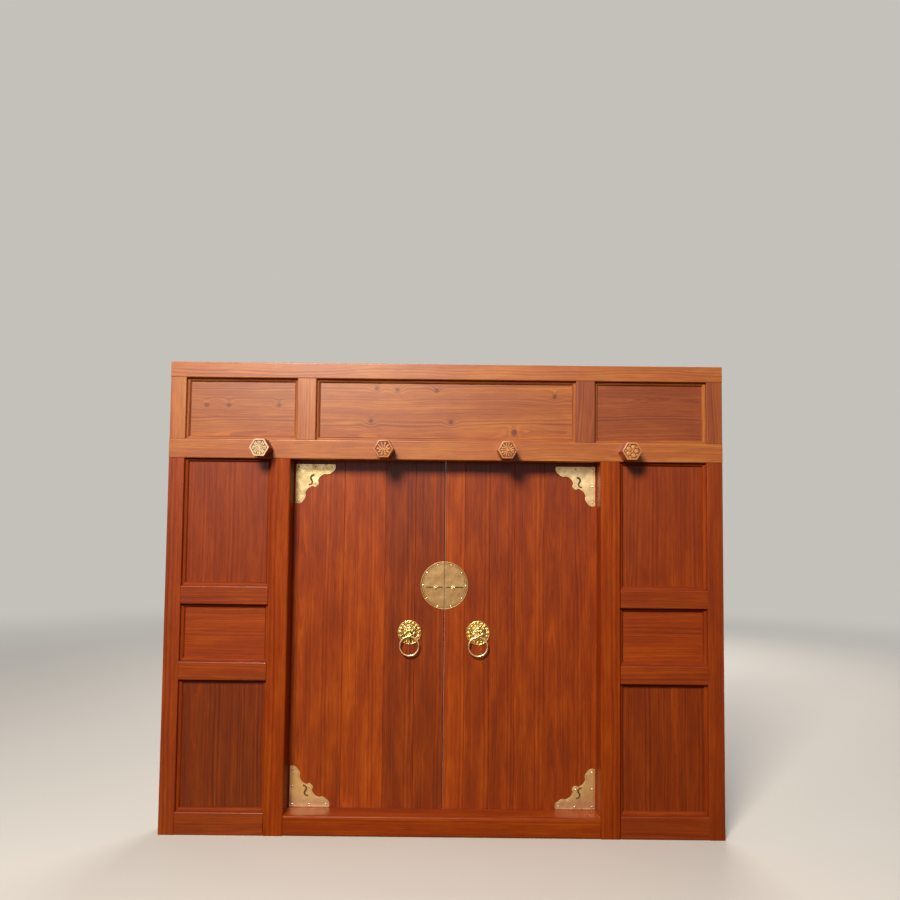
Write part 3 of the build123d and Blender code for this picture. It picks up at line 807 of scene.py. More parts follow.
def prism(name: str, outline: Outline, height: float) -> Piece:
    """Raise a solid plate from an outline drawn on the floor plane.

    Args:
        name: the plate's name.
        outline: its corners in order.
        height: its thickness, upwards.

    Returns:
        The plate, with its underside at z = 0.
    """
    plate = shape(bpy.ops.mesh.primitive_circle_add, name, vertices=len(outline), radius=1, fill_type="NGON")
    for vertex, (x, y) in zip(plate.data.vertices, outline):
        vertex.co = (x, y, 0)
    with editing(plate):
        bpy.ops.mesh.extrude_region_move(TRANSFORM_OT_translate={"value": (0, 0, height)})
        bpy.ops.mesh.select_all(action="SELECT")
        bpy.ops.mesh.normals_make_consistent(inside=False)
    return plate


def dress(piece: Piece, material: bpy.types.Material, slot: str, body: str, *nodes: str) -> None:
    """Give a new piece its finish and its body, and let it stand for its solids.

    Args:
        piece: the new piece.
        material: its finish.
        slot: not used.
        body: the body that it moves with.
        *nodes: solids that it replaces.
    """
    piece.data.materials.clear()
    piece.data.materials.append(material)
    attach(piece, body)
    if nodes:
        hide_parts(*nodes)
    log.info("%s rides on %s, %d faces", piece.name, body, len(piece.data.polygons))


def finish_node(node: str, material: bpy.types.Material) -> None:
    """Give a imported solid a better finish."""
    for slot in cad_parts[node].material_slots:
        slot.material = material


@dataclass
class Joinery:
    """The frame's timbers, panels, beam and blocks, each sawn from its own log."""

    rail_wood: StainedElm = StainedElm("elm_frame_varnished")
    top_wood: StainedElm = StainedElm(
        "elm_transom_varnished", light="#c57a40", mid="#a85a26", dark="#6c300f", contrast=0.75,
        ring=4.5 * MM, wander=0.12, blotch=0.34, coat=0.9, haze=0.32)
    # a darker copy of the transom wood for the right transom: painted shade
    painted_shade_transom_wood: StainedElm = replace(
        top_wood, name="elm_transom_painted_shade", light="#a85a2c", mid="#8c4018", dark="#562009")
    post_wood: StainedElm = StainedElm("elm_posts_oiled", coat=0.12)
    rear_wood: StainedElm = StainedElm(
        "elm_rear_oiled", light="#b0602e", mid="#8c421c", dark="#54230c", roughness=0.6, coat=0.0)
    left_knots: tuple[tuple[float, float], ...] = ((24, -1530), (26, -1388), (31, -1068))
    centre_knots: tuple[tuple[float, float], ...] = (
        (141, -444), (131, -313), (131, -61), (-68, -480), (99, 693), (-72, 32), (-132, 435))
    knot_radius: float = 14 * MM
    upright: dict[str, tuple[float, float]] = field(default_factory=lambda: {
        "jamb": (0.44, 0.44), "upper_panel": (0.42, 0.42), "lower_panel": (0.27, 0.37)})
    level: dict[str, float] = field(default_factory=lambda: {
        "bottom_rail": 0.42, "lower_waist_rail": 0.45, "upper_waist_rail": 0.45, "middle_panel": 0.5})

    def cut(self, node: str, run: Run, knots: tuple[Knot, ...] = (), tone: float = 0.5) -> Cut:
        """Say how a node's timber was sawn: its place is measured, its log is chosen by lot.

        Args:
            node: the solid's name.
            run: the way its grain runs.
            knots: its knots.
            tone: how light it took the stain, 0.5 being the middle.

        Returns:
            The cut.
        """
        low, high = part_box(node)
        lot = random.Random(node)
        axis = "XYZ".index(run.value[0])
        return Cut(
            run=run, middle=(low[axis] + high[axis]) / 2, face=low.y,
            heart_across=lot.choice((-1, 1)) * lot.uniform(0.06, 0.2),
            heart_deep=lot.uniform(0.03, 0.12), slip=lot.uniform(0, 9), tone=tone, knots=knots)

    def knots(self, places: Sequence[tuple[float, float]]) -> tuple[Knot, ...]:
        """Return the knots at these places, across and along the grain in millimetres."""
        return tuple(Knot(*mm(across, along), self.knot_radius) for across, along in places)

    def paint(self, wood: StainedElm, run: Run, *nodes: str, tone: float = 0.5,
              knots: tuple[Knot, ...] = ()) -> None:
        """Finish some timbers.

        Args:
            wood: their finish.
            run: the way their grain runs.
            *nodes: their names.
            tone: how light they took the stain.
            knots: their knots.
        """
        for node in nodes:
            finish_node(node, wood.material(self.cut(node, run, knots, tone)))

    def build(self) -> None:
        """Finish every timber of the frame."""
        for i, (side, top, tone, knots) in enumerate((
            ("left", self.top_wood, 0.38, self.knots(self.left_knots)),
            ("right", self.painted_shade_transom_wood, 0.46, ()),
        )):
            for name, tones in self.upright.items():
                self.paint(self.rail_wood, Run.UPRIGHT, f"{side}_{name}", tone=tones[i])
            for name, shade in self.level.items():
                self.paint(self.rail_wood, Run.LEVEL, f"{side}_{name}", tone=shade)
            self.paint(self.post_wood, Run.UPRIGHT, f"{side}_door_post")
            self.paint(top, Run.UPRIGHT, f"{side}_transom_jamb", f"{side}_transom_stile")
            self.paint(top, Run.LEVEL, f"{side}_transom_panel", tone=tone, knots=knots)
            self.paint(self.rear_wood, Run.THROUGH, f"{side}_pillow_block")
            self.paint(self.rear_wood, Run.LEVEL, f"{side}_battens")
        self.paint(self.top_wood, Run.LEVEL, "top_rail", "middle_rail")
        self.paint(self.top_wood, Run.LEVEL, "centre_transom_panel", tone=0.41,
                   knots=self.knots(self.centre_knots))
        self.paint(self.post_wood, Run.LEVEL, "threshold")
        self.paint(self.rear_wood, Run.LEVEL, "pivot_beam", "sliding_bar")
        self.paint(self.rear_wood, Run.UPRIGHT, "pin_wedges", "bar_brackets", "bar_keeper")
        finish_node("pivot_cups", SandCastIron().material())
        log.info("joinery finished")


@dataclass
class Leaves:
    """The boards and pivot stiles of the two leaves."""

    wood: StainedElm = StainedElm("elm_boards_varnished", blotch=0.5, blotch_size=80 * MM)
    left_start: float = -980
    left_edges: tuple[float, ...] = (-650, -385, -190, 0)
    left_tones: tuple[float, ...] = (0.5, 0.56, 0.38, 0.38)
    right_edges: tuple[float, ...] = (131, 291, 451, 641, 980)
    right_tones: tuple[float, ...] = (0.58, 0.46, 0.45, 0.48, 0.45)
    # boxes behind the lock plate's slit and the corner plates' S slits, painted dark as shade
    slit_shade_boxes: tuple[tuple[float, float, float, float], ...] = (
        (0, 126, 1511, 1523), (845, 893, 204, 252), (845, 893, 2176, 2224))
    # near-black wood for the meeting slip: painted shade in the gap between the leaves
    slip_shade_wood: StainedElm = StainedElm(
        "elm_slip_painted_shade", light="#4a1e0a", mid="#301006", dark="#180703", roughness=0.65, coat=0.0)
    slip_width: float = 3
    slip_sink: float = 7
    slip_ease: float = 1

    def build(self, joinery: Joinery) -> None:
        """Finish both leaves.

        Args:
            joinery: gives each stile its cut.
        """
        slit_shade_boxes = tuple(mm(*box) for box in self.slit_shade_boxes)
        for side, start, slip, edges, tones in (
            ("left", self.left_start, 0.0, self.left_edges, self.left_tones),
            ("right", 0.0, 4.3, self.right_edges, self.right_tones),
        ):
            low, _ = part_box(f"{side}_boards")
            cut = Cut(
                run=Run.UPRIGHT, middle=start * MM, face=low.y, heart_across=0.11, heart_deep=0.06,
                slip=slip, slit_shade_boxes=slit_shade_boxes, boards=tuple(zip(mm(*edges), tones)))
            finish_node(f"{side}_boards", self.wood.material(cut))
            joinery.paint(self.wood, Run.UPRIGHT, f"{side}_pivot_stile")
        self.meeting_slip()
        log.info("leaves finished")

    def meeting_slip(self) -> None:
        """Set a thin slip on the left leaf's meeting edge, which shuts out the daylight; its near-black
        colour is painted shade in the gap.
        """
        low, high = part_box("left_boards")
        front, back = low.y + self.slip_sink * MM, high.y - self.slip_sink * MM
        start, end, ease = high.x, high.x + self.slip_width * MM, self.slip_ease * MM
        outline = [(start, front), (end - ease, front), (end, front + ease), (end, back - ease),
                   (end - ease, back), (start, back)]
        slip = prism("meeting_slip", outline, high.z - low.z)
        slip.data.transform(Matrix.Translation((0, 0, low.z)))
        tidy_mesh(slip, 30)
        cut = Cut(Run.UPRIGHT, start, front, heart_across=0.1, heart_deep=0.05, slip=2.0)
        dress(slip, self.slip_shade_wood.material(cut), "leaf_wood", "left_leaf")


@dataclass
class Beading:
    """Mitred beads that hold the panels, each an ovolo between two small steps."""

    bay_wood: StainedElm
    transom_wood: StainedElm
    width: float = 22 * MM
    depth: float = 20 * MM
    step: float = 3 * MM
    play: float = 2 * MM
    mitre: float = 0.4 * MM
    round_steps: int = 6

    def section(self) -> Outline:
        """Draw the bead's section.

        Returns:
            Its corners: across from the frame, and out from the panel.
        """
        low = (self.width - self.step / 2, self.step)
        high = (self.step, self.depth - self.step / 2)
        bulge = (low[0] * 0.8, high[1] * 0.74)
        return [
            (0, 0), (self.width, 0), (self.width, self.step),
            *arc(low, bulge, high, self.round_steps), high,
            (self.step, self.depth), (0, self.depth),
        ]

    def strip(self, start: Vector, run: Vector, inward: Vector, out: Vector, length: float) -> Piece:
        """Make one strip, mitred at both ends.

        Args:
            start: corner of the opening where the strip begins, on the panel's face.
            run: direction along the strip.
            inward: direction from the frame into the opening.
            out: direction away from the panel.
            length: length of that side of the opening.

        Returns:
            The strip.
        """
        bead = prism("bead", self.section(), length)
        for end, slope in ((self.mitre, -1), (length - self.mitre, 1)):
            slice_off(bead, (0, 0, end), (1, 0, slope))
        place = Matrix((inward, out, run)).transposed().to_4x4()
        place.translation = start
        bead.data.transform(place)
        return bead

    def opening(self, panel: str) -> dict[str, list[Piece]]:
        """Make the eight strips round one panel, sorted by the way they run.

        Args:
            panel: the panel's node.

        Returns:
            Level strips and upright strips.
        """
        low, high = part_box(panel)
        low, high = low - Vector((self.play, 0, self.play)), high + Vector((self.play, 0, self.play))
        wide, tall = high.x - low.x, high.z - low.z
        right, up = Vector((1, 0, 0)), Vector((0, 0, 1))
        level, upright = [], []
        for y, out in ((low.y, Vector((0, -1, 0))), (high.y, Vector((0, 1, 0)))):
            for z, inward in ((low.z, up), (high.z, -up)):
                level.append(self.strip(Vector((low.x, y, z)), right, inward, out, wide))
            for x, inward in ((low.x, right), (high.x, -right)):
                upright.append(self.strip(Vector((x, y, low.z)), up, inward, out, tall))
        return {"level": level, "upright": upright}

    def build(self, joinery: Joinery) -> None:
        """Make all beads, in place of the plain strips.

        Args:
            joinery: gives the cuts of the wood.
        """
        bays = [f"{side}_{name}_panel" for side in ("left", "right") for name in ("upper", "middle", "lower")]
        lights = [f"{name}_transom_panel" for name in ("left", "centre", "right")]
        for node, wood, panels, tone, coat in (
            ("side_beads", self.bay_wood, bays, 0.44, 0.08),
            # the transom beads take a darker tone: painted shade for the dark line between rail and panel
            ("transom_beads", self.transom_wood, lights, 0.36, 0.45),
        ):
            strips = [self.opening(panel) for panel in panels]
            for way, run in (("level", Run.LEVEL), ("upright", Run.UPRIGHT)):
                beads = join(f"{node}_{way}", [bead for four in strips for bead in four[way]])
                tidy_mesh(beads, 30)
                sanded = replace(wood, name=wood.name + "_bead", coat=coat, haze=0.45, roughness=0.62)
                dress(beads, sanded.material(joinery.cut(node, run, tone=tone)), "bead_wood", "frame", node)


@dataclass(frozen=True)
class Petals:
    """One ring of petals on a carved flower, in millimetres."""

    count: int
    ring: float
    length: float
    width: float
    lift: float
    offset: float = 0.0
    cleft: float = 0.0


@dataclass
class PinRow:
    """Four hexagonal pins through the middle rail, with a flower carved on each face.

    Sizes are in millimetres. The border lists the three petals in each corner of the hexagon by
    their angle from the corner in radians, their distance from the axis and their length.
    """

    wood: StainedElm
    rail_face: float = 80
    across_flats: float = 108
    projection: float = 140
    shank: float = 255
    tail: float = 60
    tenon_width: float = 36
    tenon_height: float = 48
    rim: float = 9
    rim_slope: float = 1.5
    carving_depth: float = 9
    edge_round: float = 3.5
    tail_round: float = 3
    slot_width: float = 14
    slot_depth: float = 26
    voxel: float = 0.8
    root: float = 0.8
    petal_thickness: float = 4.2
    cleft_share: float = 0.62
    seed_ring: float = 3.6
    seed_lift: float = 6.2
    seed_radius: float = 1.9
    border: tuple[Point, ...] = ((-0.26, 37, 7), (0, 42.5, 8.5), (0.26, 37, 7))
    axis_height: float = 2.389
    flowers: dict[str, tuple[Petals, ...]] = field(default_factory=lambda: {
        "outer_left_pin": (
            Petals(8, 32, 13, 7.6, 2.6, cleft=5.2), Petals(8, 20, 9, 4.8, 3.2, offset=0.5, cleft=3.6),
            Petals(6, 10, 5.5, 3.6, 4.4)),
        "inner_left_pin": (
            Petals(10, 32, 14, 8, 2.4), Petals(8, 20, 12, 6.5, 2.8, offset=0.5), Petals(6, 9, 7, 4.6, 4.4)),
        "inner_right_pin": (
            Petals(14, 32, 14, 5.6, 2.5), Petals(11, 19, 10, 4.4, 2.9, offset=0.5),
            Petals(8, 9, 6, 3, 4.4)),
        "outer_right_pin": (
            Petals(5, 26, 16, 15, 2.4), Petals(10, 12, 6, 2.4, 4.6, offset=0.5),
            Petals(5, 39, 8, 8, 2.2, offset=0.5)),
    })

    def shaft(self) -> Piece:
        """Make the hexagonal head with its sunk face and rounded edges.

        Returns:
            The head, its face towards +Z and its shoulder at z = 0.
        """
        top, corner, close = mm(self.projection, self.across_flats / math.sqrt(3), 0.1)
        head = prism("pin_head", [polar(corner, math.radians(60 * i), 0)[:2] for i in range(6)], top)
        with editing(head, "FACE", lambda face: face.normal.z > 0.9):
            bpy.ops.mesh.inset(thickness=self.rim * MM, depth=0)
            bpy.ops.mesh.inset(thickness=self.rim_slope * MM, depth=-self.carving_depth * MM)

        def on_rim(edge: bpy.types.MeshEdge) -> bool:
            ends = [head.data.vertices[i].co for i in edge.vertices]
            outside = all(abs(end.xy.length - corner) < close for end in ends)
            return outside and max(end.z for end in ends) > top - close

        with editing(head, "EDGE", on_rim):
            bpy.ops.mesh.bevel(offset=self.edge_round * MM, segments=3, affect="EDGES")
        return head

    def relief(self, rings: Sequence[Petals]) -> Piece:
        """Carve one flower, its ground at z = 0.

        Args:
            rings: its rings of petals.

        Returns:
            The flower, smoothed into one skin.
        """
        lumps = []
        for ring in rings:
            width = ring.width * (self.cleft_share if ring.cleft else 1)
            for i in range(ring.count):
                turn = math.tau * (i + ring.offset) / ring.count
                for shift in (-ring.cleft, ring.cleft) if ring.cleft else (0.0,):
                    x = ring.ring * math.cos(turn) - shift * math.sin(turn)
                    y = ring.ring * math.sin(turn) + shift * math.cos(turn)
                    lumps.append(ball(
                        (x, y, ring.lift), (ring.length, width, self.petal_thickness),
                        math.degrees(turn), detail=12))
        seeds = [polar(self.seed_ring, math.tau * i / 6, self.seed_lift) for i in range(6)]
        for seed in [(0, 0, self.seed_lift), *seeds]:
            lumps.append(ball(seed, (self.seed_radius,) * 3, detail=10))
        lumps.append(ball((0, 0, 2), (7, 7, 5)))
        for i in range(6):
            turn = math.radians(60 * i)
            for spread, reach, length in self.border:
                lumps.append(ball(
                    polar(reach, turn + spread, 0.8), (length, 3, 3.2),
                    math.degrees(turn) + spread * 150, detail=10))
        flower = fuse("flower", lumps, self.voxel, 1)
        slice_off(flower, mm(0, 0, -self.root), (0, 0, -1))
        return flower

    def tenon(self) -> Piece:
        """Make the tenon behind the head, with its eased end and the slot for the wedge.

        Returns:
            The tenon, from z = 0 down.
        """
        x, y = mm(self.tenon_width / 2, self.tenon_height / 2)
        tenon = prism("pin_tenon", [(-x, -y), (x, -y), (x, y), (-x, y)], -(self.shank + self.tail) * MM)
        with editing(tenon, "FACE", lambda face: face.normal.z < -0.9):
            bpy.ops.mesh.bevel(offset=self.tail_round * MM, segments=2, affect="EDGES")
        cut_away(tenon, shape(
            bpy.ops.mesh.primitive_cube_add, "slot", size=1,
            location=mm(0, 0, -(self.shank + self.slot_depth / 2)),
            scale=mm(self.slot_width, self.tenon_height * 2, self.slot_depth)))
        return tenon

    def build(self) -> None:
        """Make the four pins in place of the plain ones."""
        shaft, tenon = self.shaft(), self.tenon()
        face = -(self.rail_face + self.projection) * MM
        varnished = replace(
            self.wood, name="elm_carving_varnished", light="#dd9a64", mid="#c47a48", sunk_face=face)
        for node, rings in self.flowers.items():
            low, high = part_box(node)
            middle = (low.x + high.x) / 2
            flower = self.relief(rings)
            flower.data.transform(Matrix.Translation(mm(0, 0, self.projection - self.carving_depth)))
            pin = join(node + "_carved", [copy_of(shaft, "head"), flower, copy_of(tenon, "tail")])
            pin.data.transform(on_front(middle, -self.rail_face * MM, self.axis_height))
            tidy_mesh(pin, 40)
            # the outer left pin's face gets the pale copy, painted sunlight; the others keep the varnished
            # wood
            wood = PaintedSunlitCarving(sunk_face=face) if node == "outer_left_pin" else varnished
            cut = Cut(Run.THROUGH, middle, self.axis_height, 0.02, 0.02, low.x)
            dress(pin, wood.material(cut), "carved_wood", "frame", node)
        discard(shaft, tenon)


@dataclass
class CornerPlates:
    """Pierced brass plates on the leaves' outer corners, sawn from sheet and chased.

    Sizes are in millimetres, along the plate's two edges from its corner.
    """

    leg: float = 255
    tip_width: float = 50
    tip_ease: float = 3
    tip_length: float = 21
    lobe_length: float = 66
    lobe_swell: float = 2
    waist: float = 62
    cusp: float = 141
    cusp_lobe: float = 31
    cusp_swell: float = 6.5
    cusp_notch: float = 2.5
    thickness: float = 2.5
    edge_drop: float = 0.6
    border: float = 7
    groove: float = 0.9
    slit_width: float = 4
    chase: float = 8
    chase_depth: float = 0.8
    slit_steps: int = 12
    edge_steps: int = 8
    brass: YellowBrass = YellowBrass(
        "brass_sheet_rubbed", bright="#ecd096", film="#6a4a24", roughness=0.27, film_share=0.55,
        grain_size=2.2 * MM, grain_depth=0.2, sunk_face=80.5 * MM, dents=4 * MM, dent_size=80 * MM)
    # a brighter, less filmed copy of the sheet brass: painted brightness for the plates that mirror more
    # light
    painted_bright_brass: YellowBrass = replace(
        brass, name="brass_sheet_painted_bright", bright="#fbe2ac", film="#7a5628", roughness=0.37,
        film_share=0.28)

    def outline(self) -> Outline:
        """Draw the plate's edge for a lower left corner, symmetric about its diagonal.

        Returns:
            Its corners in order.
        """
        cusp = self.cusp
        tip = (self.leg - self.tip_length, self.tip_width)
        lobe = (self.leg - self.lobe_length, self.waist)
        crown = ((tip[0] + lobe[0]) / 2, self.waist + self.lobe_swell)
        root = (cusp, cusp - self.cusp_lobe)
        hollow = (root[0] * 0.67 + lobe[0] * 0.33, lobe[1] * 0.62 + root[1] * 0.38)
        notch = (cusp - self.cusp_notch, cusp - self.cusp_notch)
        half = [
            *arc((self.leg - self.tip_ease, 0), (self.leg, self.tip_width / 2), tip, self.edge_steps),
            *arc(tip, crown, lobe, self.edge_steps),
            *arc(lobe, hollow, root, self.edge_steps),
            *arc(root, (cusp + self.cusp_swell, cusp - self.cusp_lobe / 2), notch, self.edge_steps),
        ]
        return [mm(u, v) for u, v in ((0, 0), *half, notch, *((v, u) for u, v in reversed(half)))]

    def slit(self, width: float, start: float) -> Piece:
        """Make a cutter for the S that is pierced beside the cusp, or for its chased band.

        Args:
            width: width of the S.
            start: height above the plate's back from which it cuts.

        Returns:
            The cutter.
        """
        steps, middle, radius = self.slit_steps, self.cusp * 0.72, self.cusp * 0.13
        bends = [(1, 60 - 150 * i / steps) for i in range(steps)]
        bends += [(-1, 90 + 150 * i / steps) for i in range(steps + 1)]
        sides = []
        for reach in (width / 2, -width / 2):
            side = []
            for bend, degrees in bends:
                u, v, _ = polar(radius + bend * reach, math.radians(degrees), 0)
                v += bend * radius
                side.append(mm(middle + (u - v) * math.sqrt(0.5), middle + (u + v) * math.sqrt(0.5)))
            sides.append(side)
        cutter = prism("slit", sides[0] + sides[1][::-1], 10 * MM)
        cutter.data.transform(Matrix.Translation(mm(0, 0, start)))
        return cutter

    def plate(self) -> Piece:
        """Make one plate, its back at z = 0.

        Returns:
            The plate.
        """
        drop, groove = self.edge_drop, self.groove
        plate = prism("corner_plate", self.outline(), (self.thickness - drop) * MM)
        with editing(plate, "FACE", lambda face: face.normal.z > 0.9):
            for inward, up in ((drop, drop), (self.border, 0), (groove, -groove), (groove, groove)):
                bpy.ops.mesh.inset(thickness=inward * MM, depth=up * MM)
        cut_away(plate, self.slit(self.slit_width + self.chase, self.thickness - self.chase_depth),
                 self.slit(self.slit_width, -5))
        return plate

    def build(self) -> None:
        """Make the four plates in place of the plain ones."""
        pattern = self.plate()
        plain, flip = Matrix.Identity(4), Matrix.Scale(-1, 4, (0, 1, 0))
        for side, turn in (("left", plain), ("right", MIRROR)):
            for level, tilt in (("lower", plain), ("upper", flip)):
                node = f"{side}_{level}_corner_plate"
                low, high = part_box(node)
                place = on_front(
                    low.x if side == "left" else high.x, high.y, low.z if level == "lower" else high.z)
                plate = copy_of(pattern, node + "_chased", place @ turn @ tilt)
                tidy_mesh(plate, 25)
                # the upper left plate keeps the duller brass, painted as if shaded; the other three get the
                # copy with painted brightness
                brass = self.brass if (side, level) == ("left", "upper") else self.painted_bright_brass
                dress(plate, brass.material(), "brass", f"{side}_leaf", node)
        discard(pattern)


@dataclass
class LockFittings:
    """The round lock plate in two halves, with a cast eye on each; sizes in millimetres."""

    radius: float = 153
    thickness: float = 2.5
    rim: float = 6
    rim_height: float = 2
    gap: float = 2
    slit_height: float = 6
    slit_drop: float = 12
    slit: tuple[float, float] = (10, 122)
    centre_height: float = 1.529
    plate_back: float = 0.083
    round_steps: int = 72
    eye_place: float = 56
    boss_radius: float = 11.5
    boss_height: float = 2.6
    lobes: int = 8
    lobe_ring: float = 10.2
    loop_radius: float = 6.9
    loop_wire: float = 2.1
    loop_height: float = 15
    loop_stretch: float = 1.75
    voxel: float = 0.45
    brushed: YellowBrass = YellowBrass(
        "brass_sheet_brushed", bright="#ecc388", film="#574626", roughness=0.28, film_share=0.6,
        grain=(1.0, 1.0, 0.03), grain_size=2.4 * MM, grain_depth=0.7, sunk_face=80.5 * MM,
        proud_face=80.5 * MM, dents=2.5 * MM, dent_size=70 * MM, strokes=0.45)
    cast: YellowBrass = YellowBrass(
        "brass_cast_polished", bright="#f6dfae", roughness=0.24, film_share=0.2, hollows=True)

    def disc(self) -> Piece:
        """Spin the plate's section into the whole disc, its back at z = 0.

        Returns:
            The disc.
        """
        t, r, rim, high = self.thickness, self.radius, self.rim, self.rim_height
        section = [
            (0, 0), (r - 0.6, 0), (r, 0.6), (r, t + high * 0.4), (r - rim * 0.22, t + high * 0.86),
            (r - rim * 0.5, t + high), (r - rim * 0.78, t + high * 0.8), (r - rim, t),
            (r - rim - 0.8, t - 0.9), (r - rim - 3.6, t - 0.9), (r - rim - 4.6, t), (r - rim - 11, t),
            (r - rim - 11.8, t - 0.8), (r - rim - 13, t - 0.8), (r - rim - 13.8, t), (0, t),
        ]
        disc = shape(bpy.ops.mesh.primitive_circle_add, "lock_disc", vertices=len(section), radius=1)
        for vertex, (u, w) in zip(disc.data.vertices, section):
            vertex.co = mm(u, 0, w)
        with editing(disc):
            bpy.ops.mesh.spin(steps=self.round_steps, angle=math.tau, center=(0, 0, 0), axis=(0, 0, 1))
            bpy.ops.mesh.select_all(action="SELECT")
            bpy.ops.mesh.remove_doubles(threshold=0.01 * MM)
            bpy.ops.mesh.delete_loose()
            bpy.ops.mesh.select_all(action="SELECT")
            bpy.ops.mesh.normals_make_consistent(inside=False)
        return disc

    def half(self) -> Piece:
        """Cut the right-hand half from the disc, with its slit.

        Returns:
            The half plate.
        """
        half = self.disc()
        slice_off(half, mm(self.gap, 0, 0), (-1, 0, 0))
        start, end = self.slit
        cut_away(half, shape(
            bpy.ops.mesh.primitive_cube_add, "slit", size=1,
            location=mm((start + end) / 2, -self.slit_drop, 0), scale=mm(end - start, self.slit_height, 20)))
        return half

    def eye(self) -> Piece:
        """Make a padlock eye: a lobed boss, a neck and a round loop with its hole across.

        Returns:
            The eye, its boss's back at z = 0.
        """
        boss = shape(
            bpy.ops.mesh.primitive_cylinder_add, "boss", vertices=32, radius=self.boss_radius * MM,
            depth=self.boss_height * MM, location=mm(0, 0, self.boss_height / 2))
        lobes = [ball(polar(self.lobe_ring, math.tau * i / self.lobes, 1.2), (3.8, 3.8, 2.6))
                 for i in range(self.lobes)]
        neck = ball((0, 0, 3.4), (6.5, 6.8, 3.6))
        loop = settle(shape(
            bpy.ops.mesh.primitive_torus_add, "loop", major_radius=self.loop_radius * MM,
            minor_radius=self.loop_wire * MM, major_segments=40, minor_segments=16,
            location=mm(0, 0, self.loop_height), rotation=(0, math.radians(90), 0)))
        loop.data.transform(Matrix.Diagonal((self.loop_stretch, 1, 1, 1)))
        eye = fuse("eye", [boss, *lobes, neck, loop], self.voxel, 2)
        slice_off(eye, (0, 0, 0), (0, 0, -1))
        return eye

    def build(self) -> None:
        """Make both halves and both eyes in place of the plain ones."""
        half, eye = self.half(), self.eye()
        seat = Matrix.Translation(mm(self.eye_place, -self.slit_drop, self.thickness))
        for side, turn in (("right", Matrix.Identity(4)), ("left", MIRROR)):
            place = on_front(0, self.plate_back, self.centre_height) @ turn
            for pattern, name, change, crease, brass, node in (
                (half, "lock_plate_turned", Matrix.Identity(4), 25, self.brushed, "lock_plate"),
                (eye, "lock_eye_cast", seat, 60, self.cast, "lock_eye"),
            ):
                fitting = copy_of(pattern, f"{side}_{name}", place @ change)
                tidy_mesh(fitting, crease)
                dress(fitting, brass.material(), "brass", f"{side}_leaf", f"{side}_{node}")
        discard(half, eye)


@dataclass(frozen=True)
class Lump:
    """A lump of clay on the mask, in millimetres; a paired one has a twin on the other side."""

    place: Point
    radii: Point
    turn: float = 0.0
    paired: bool = False


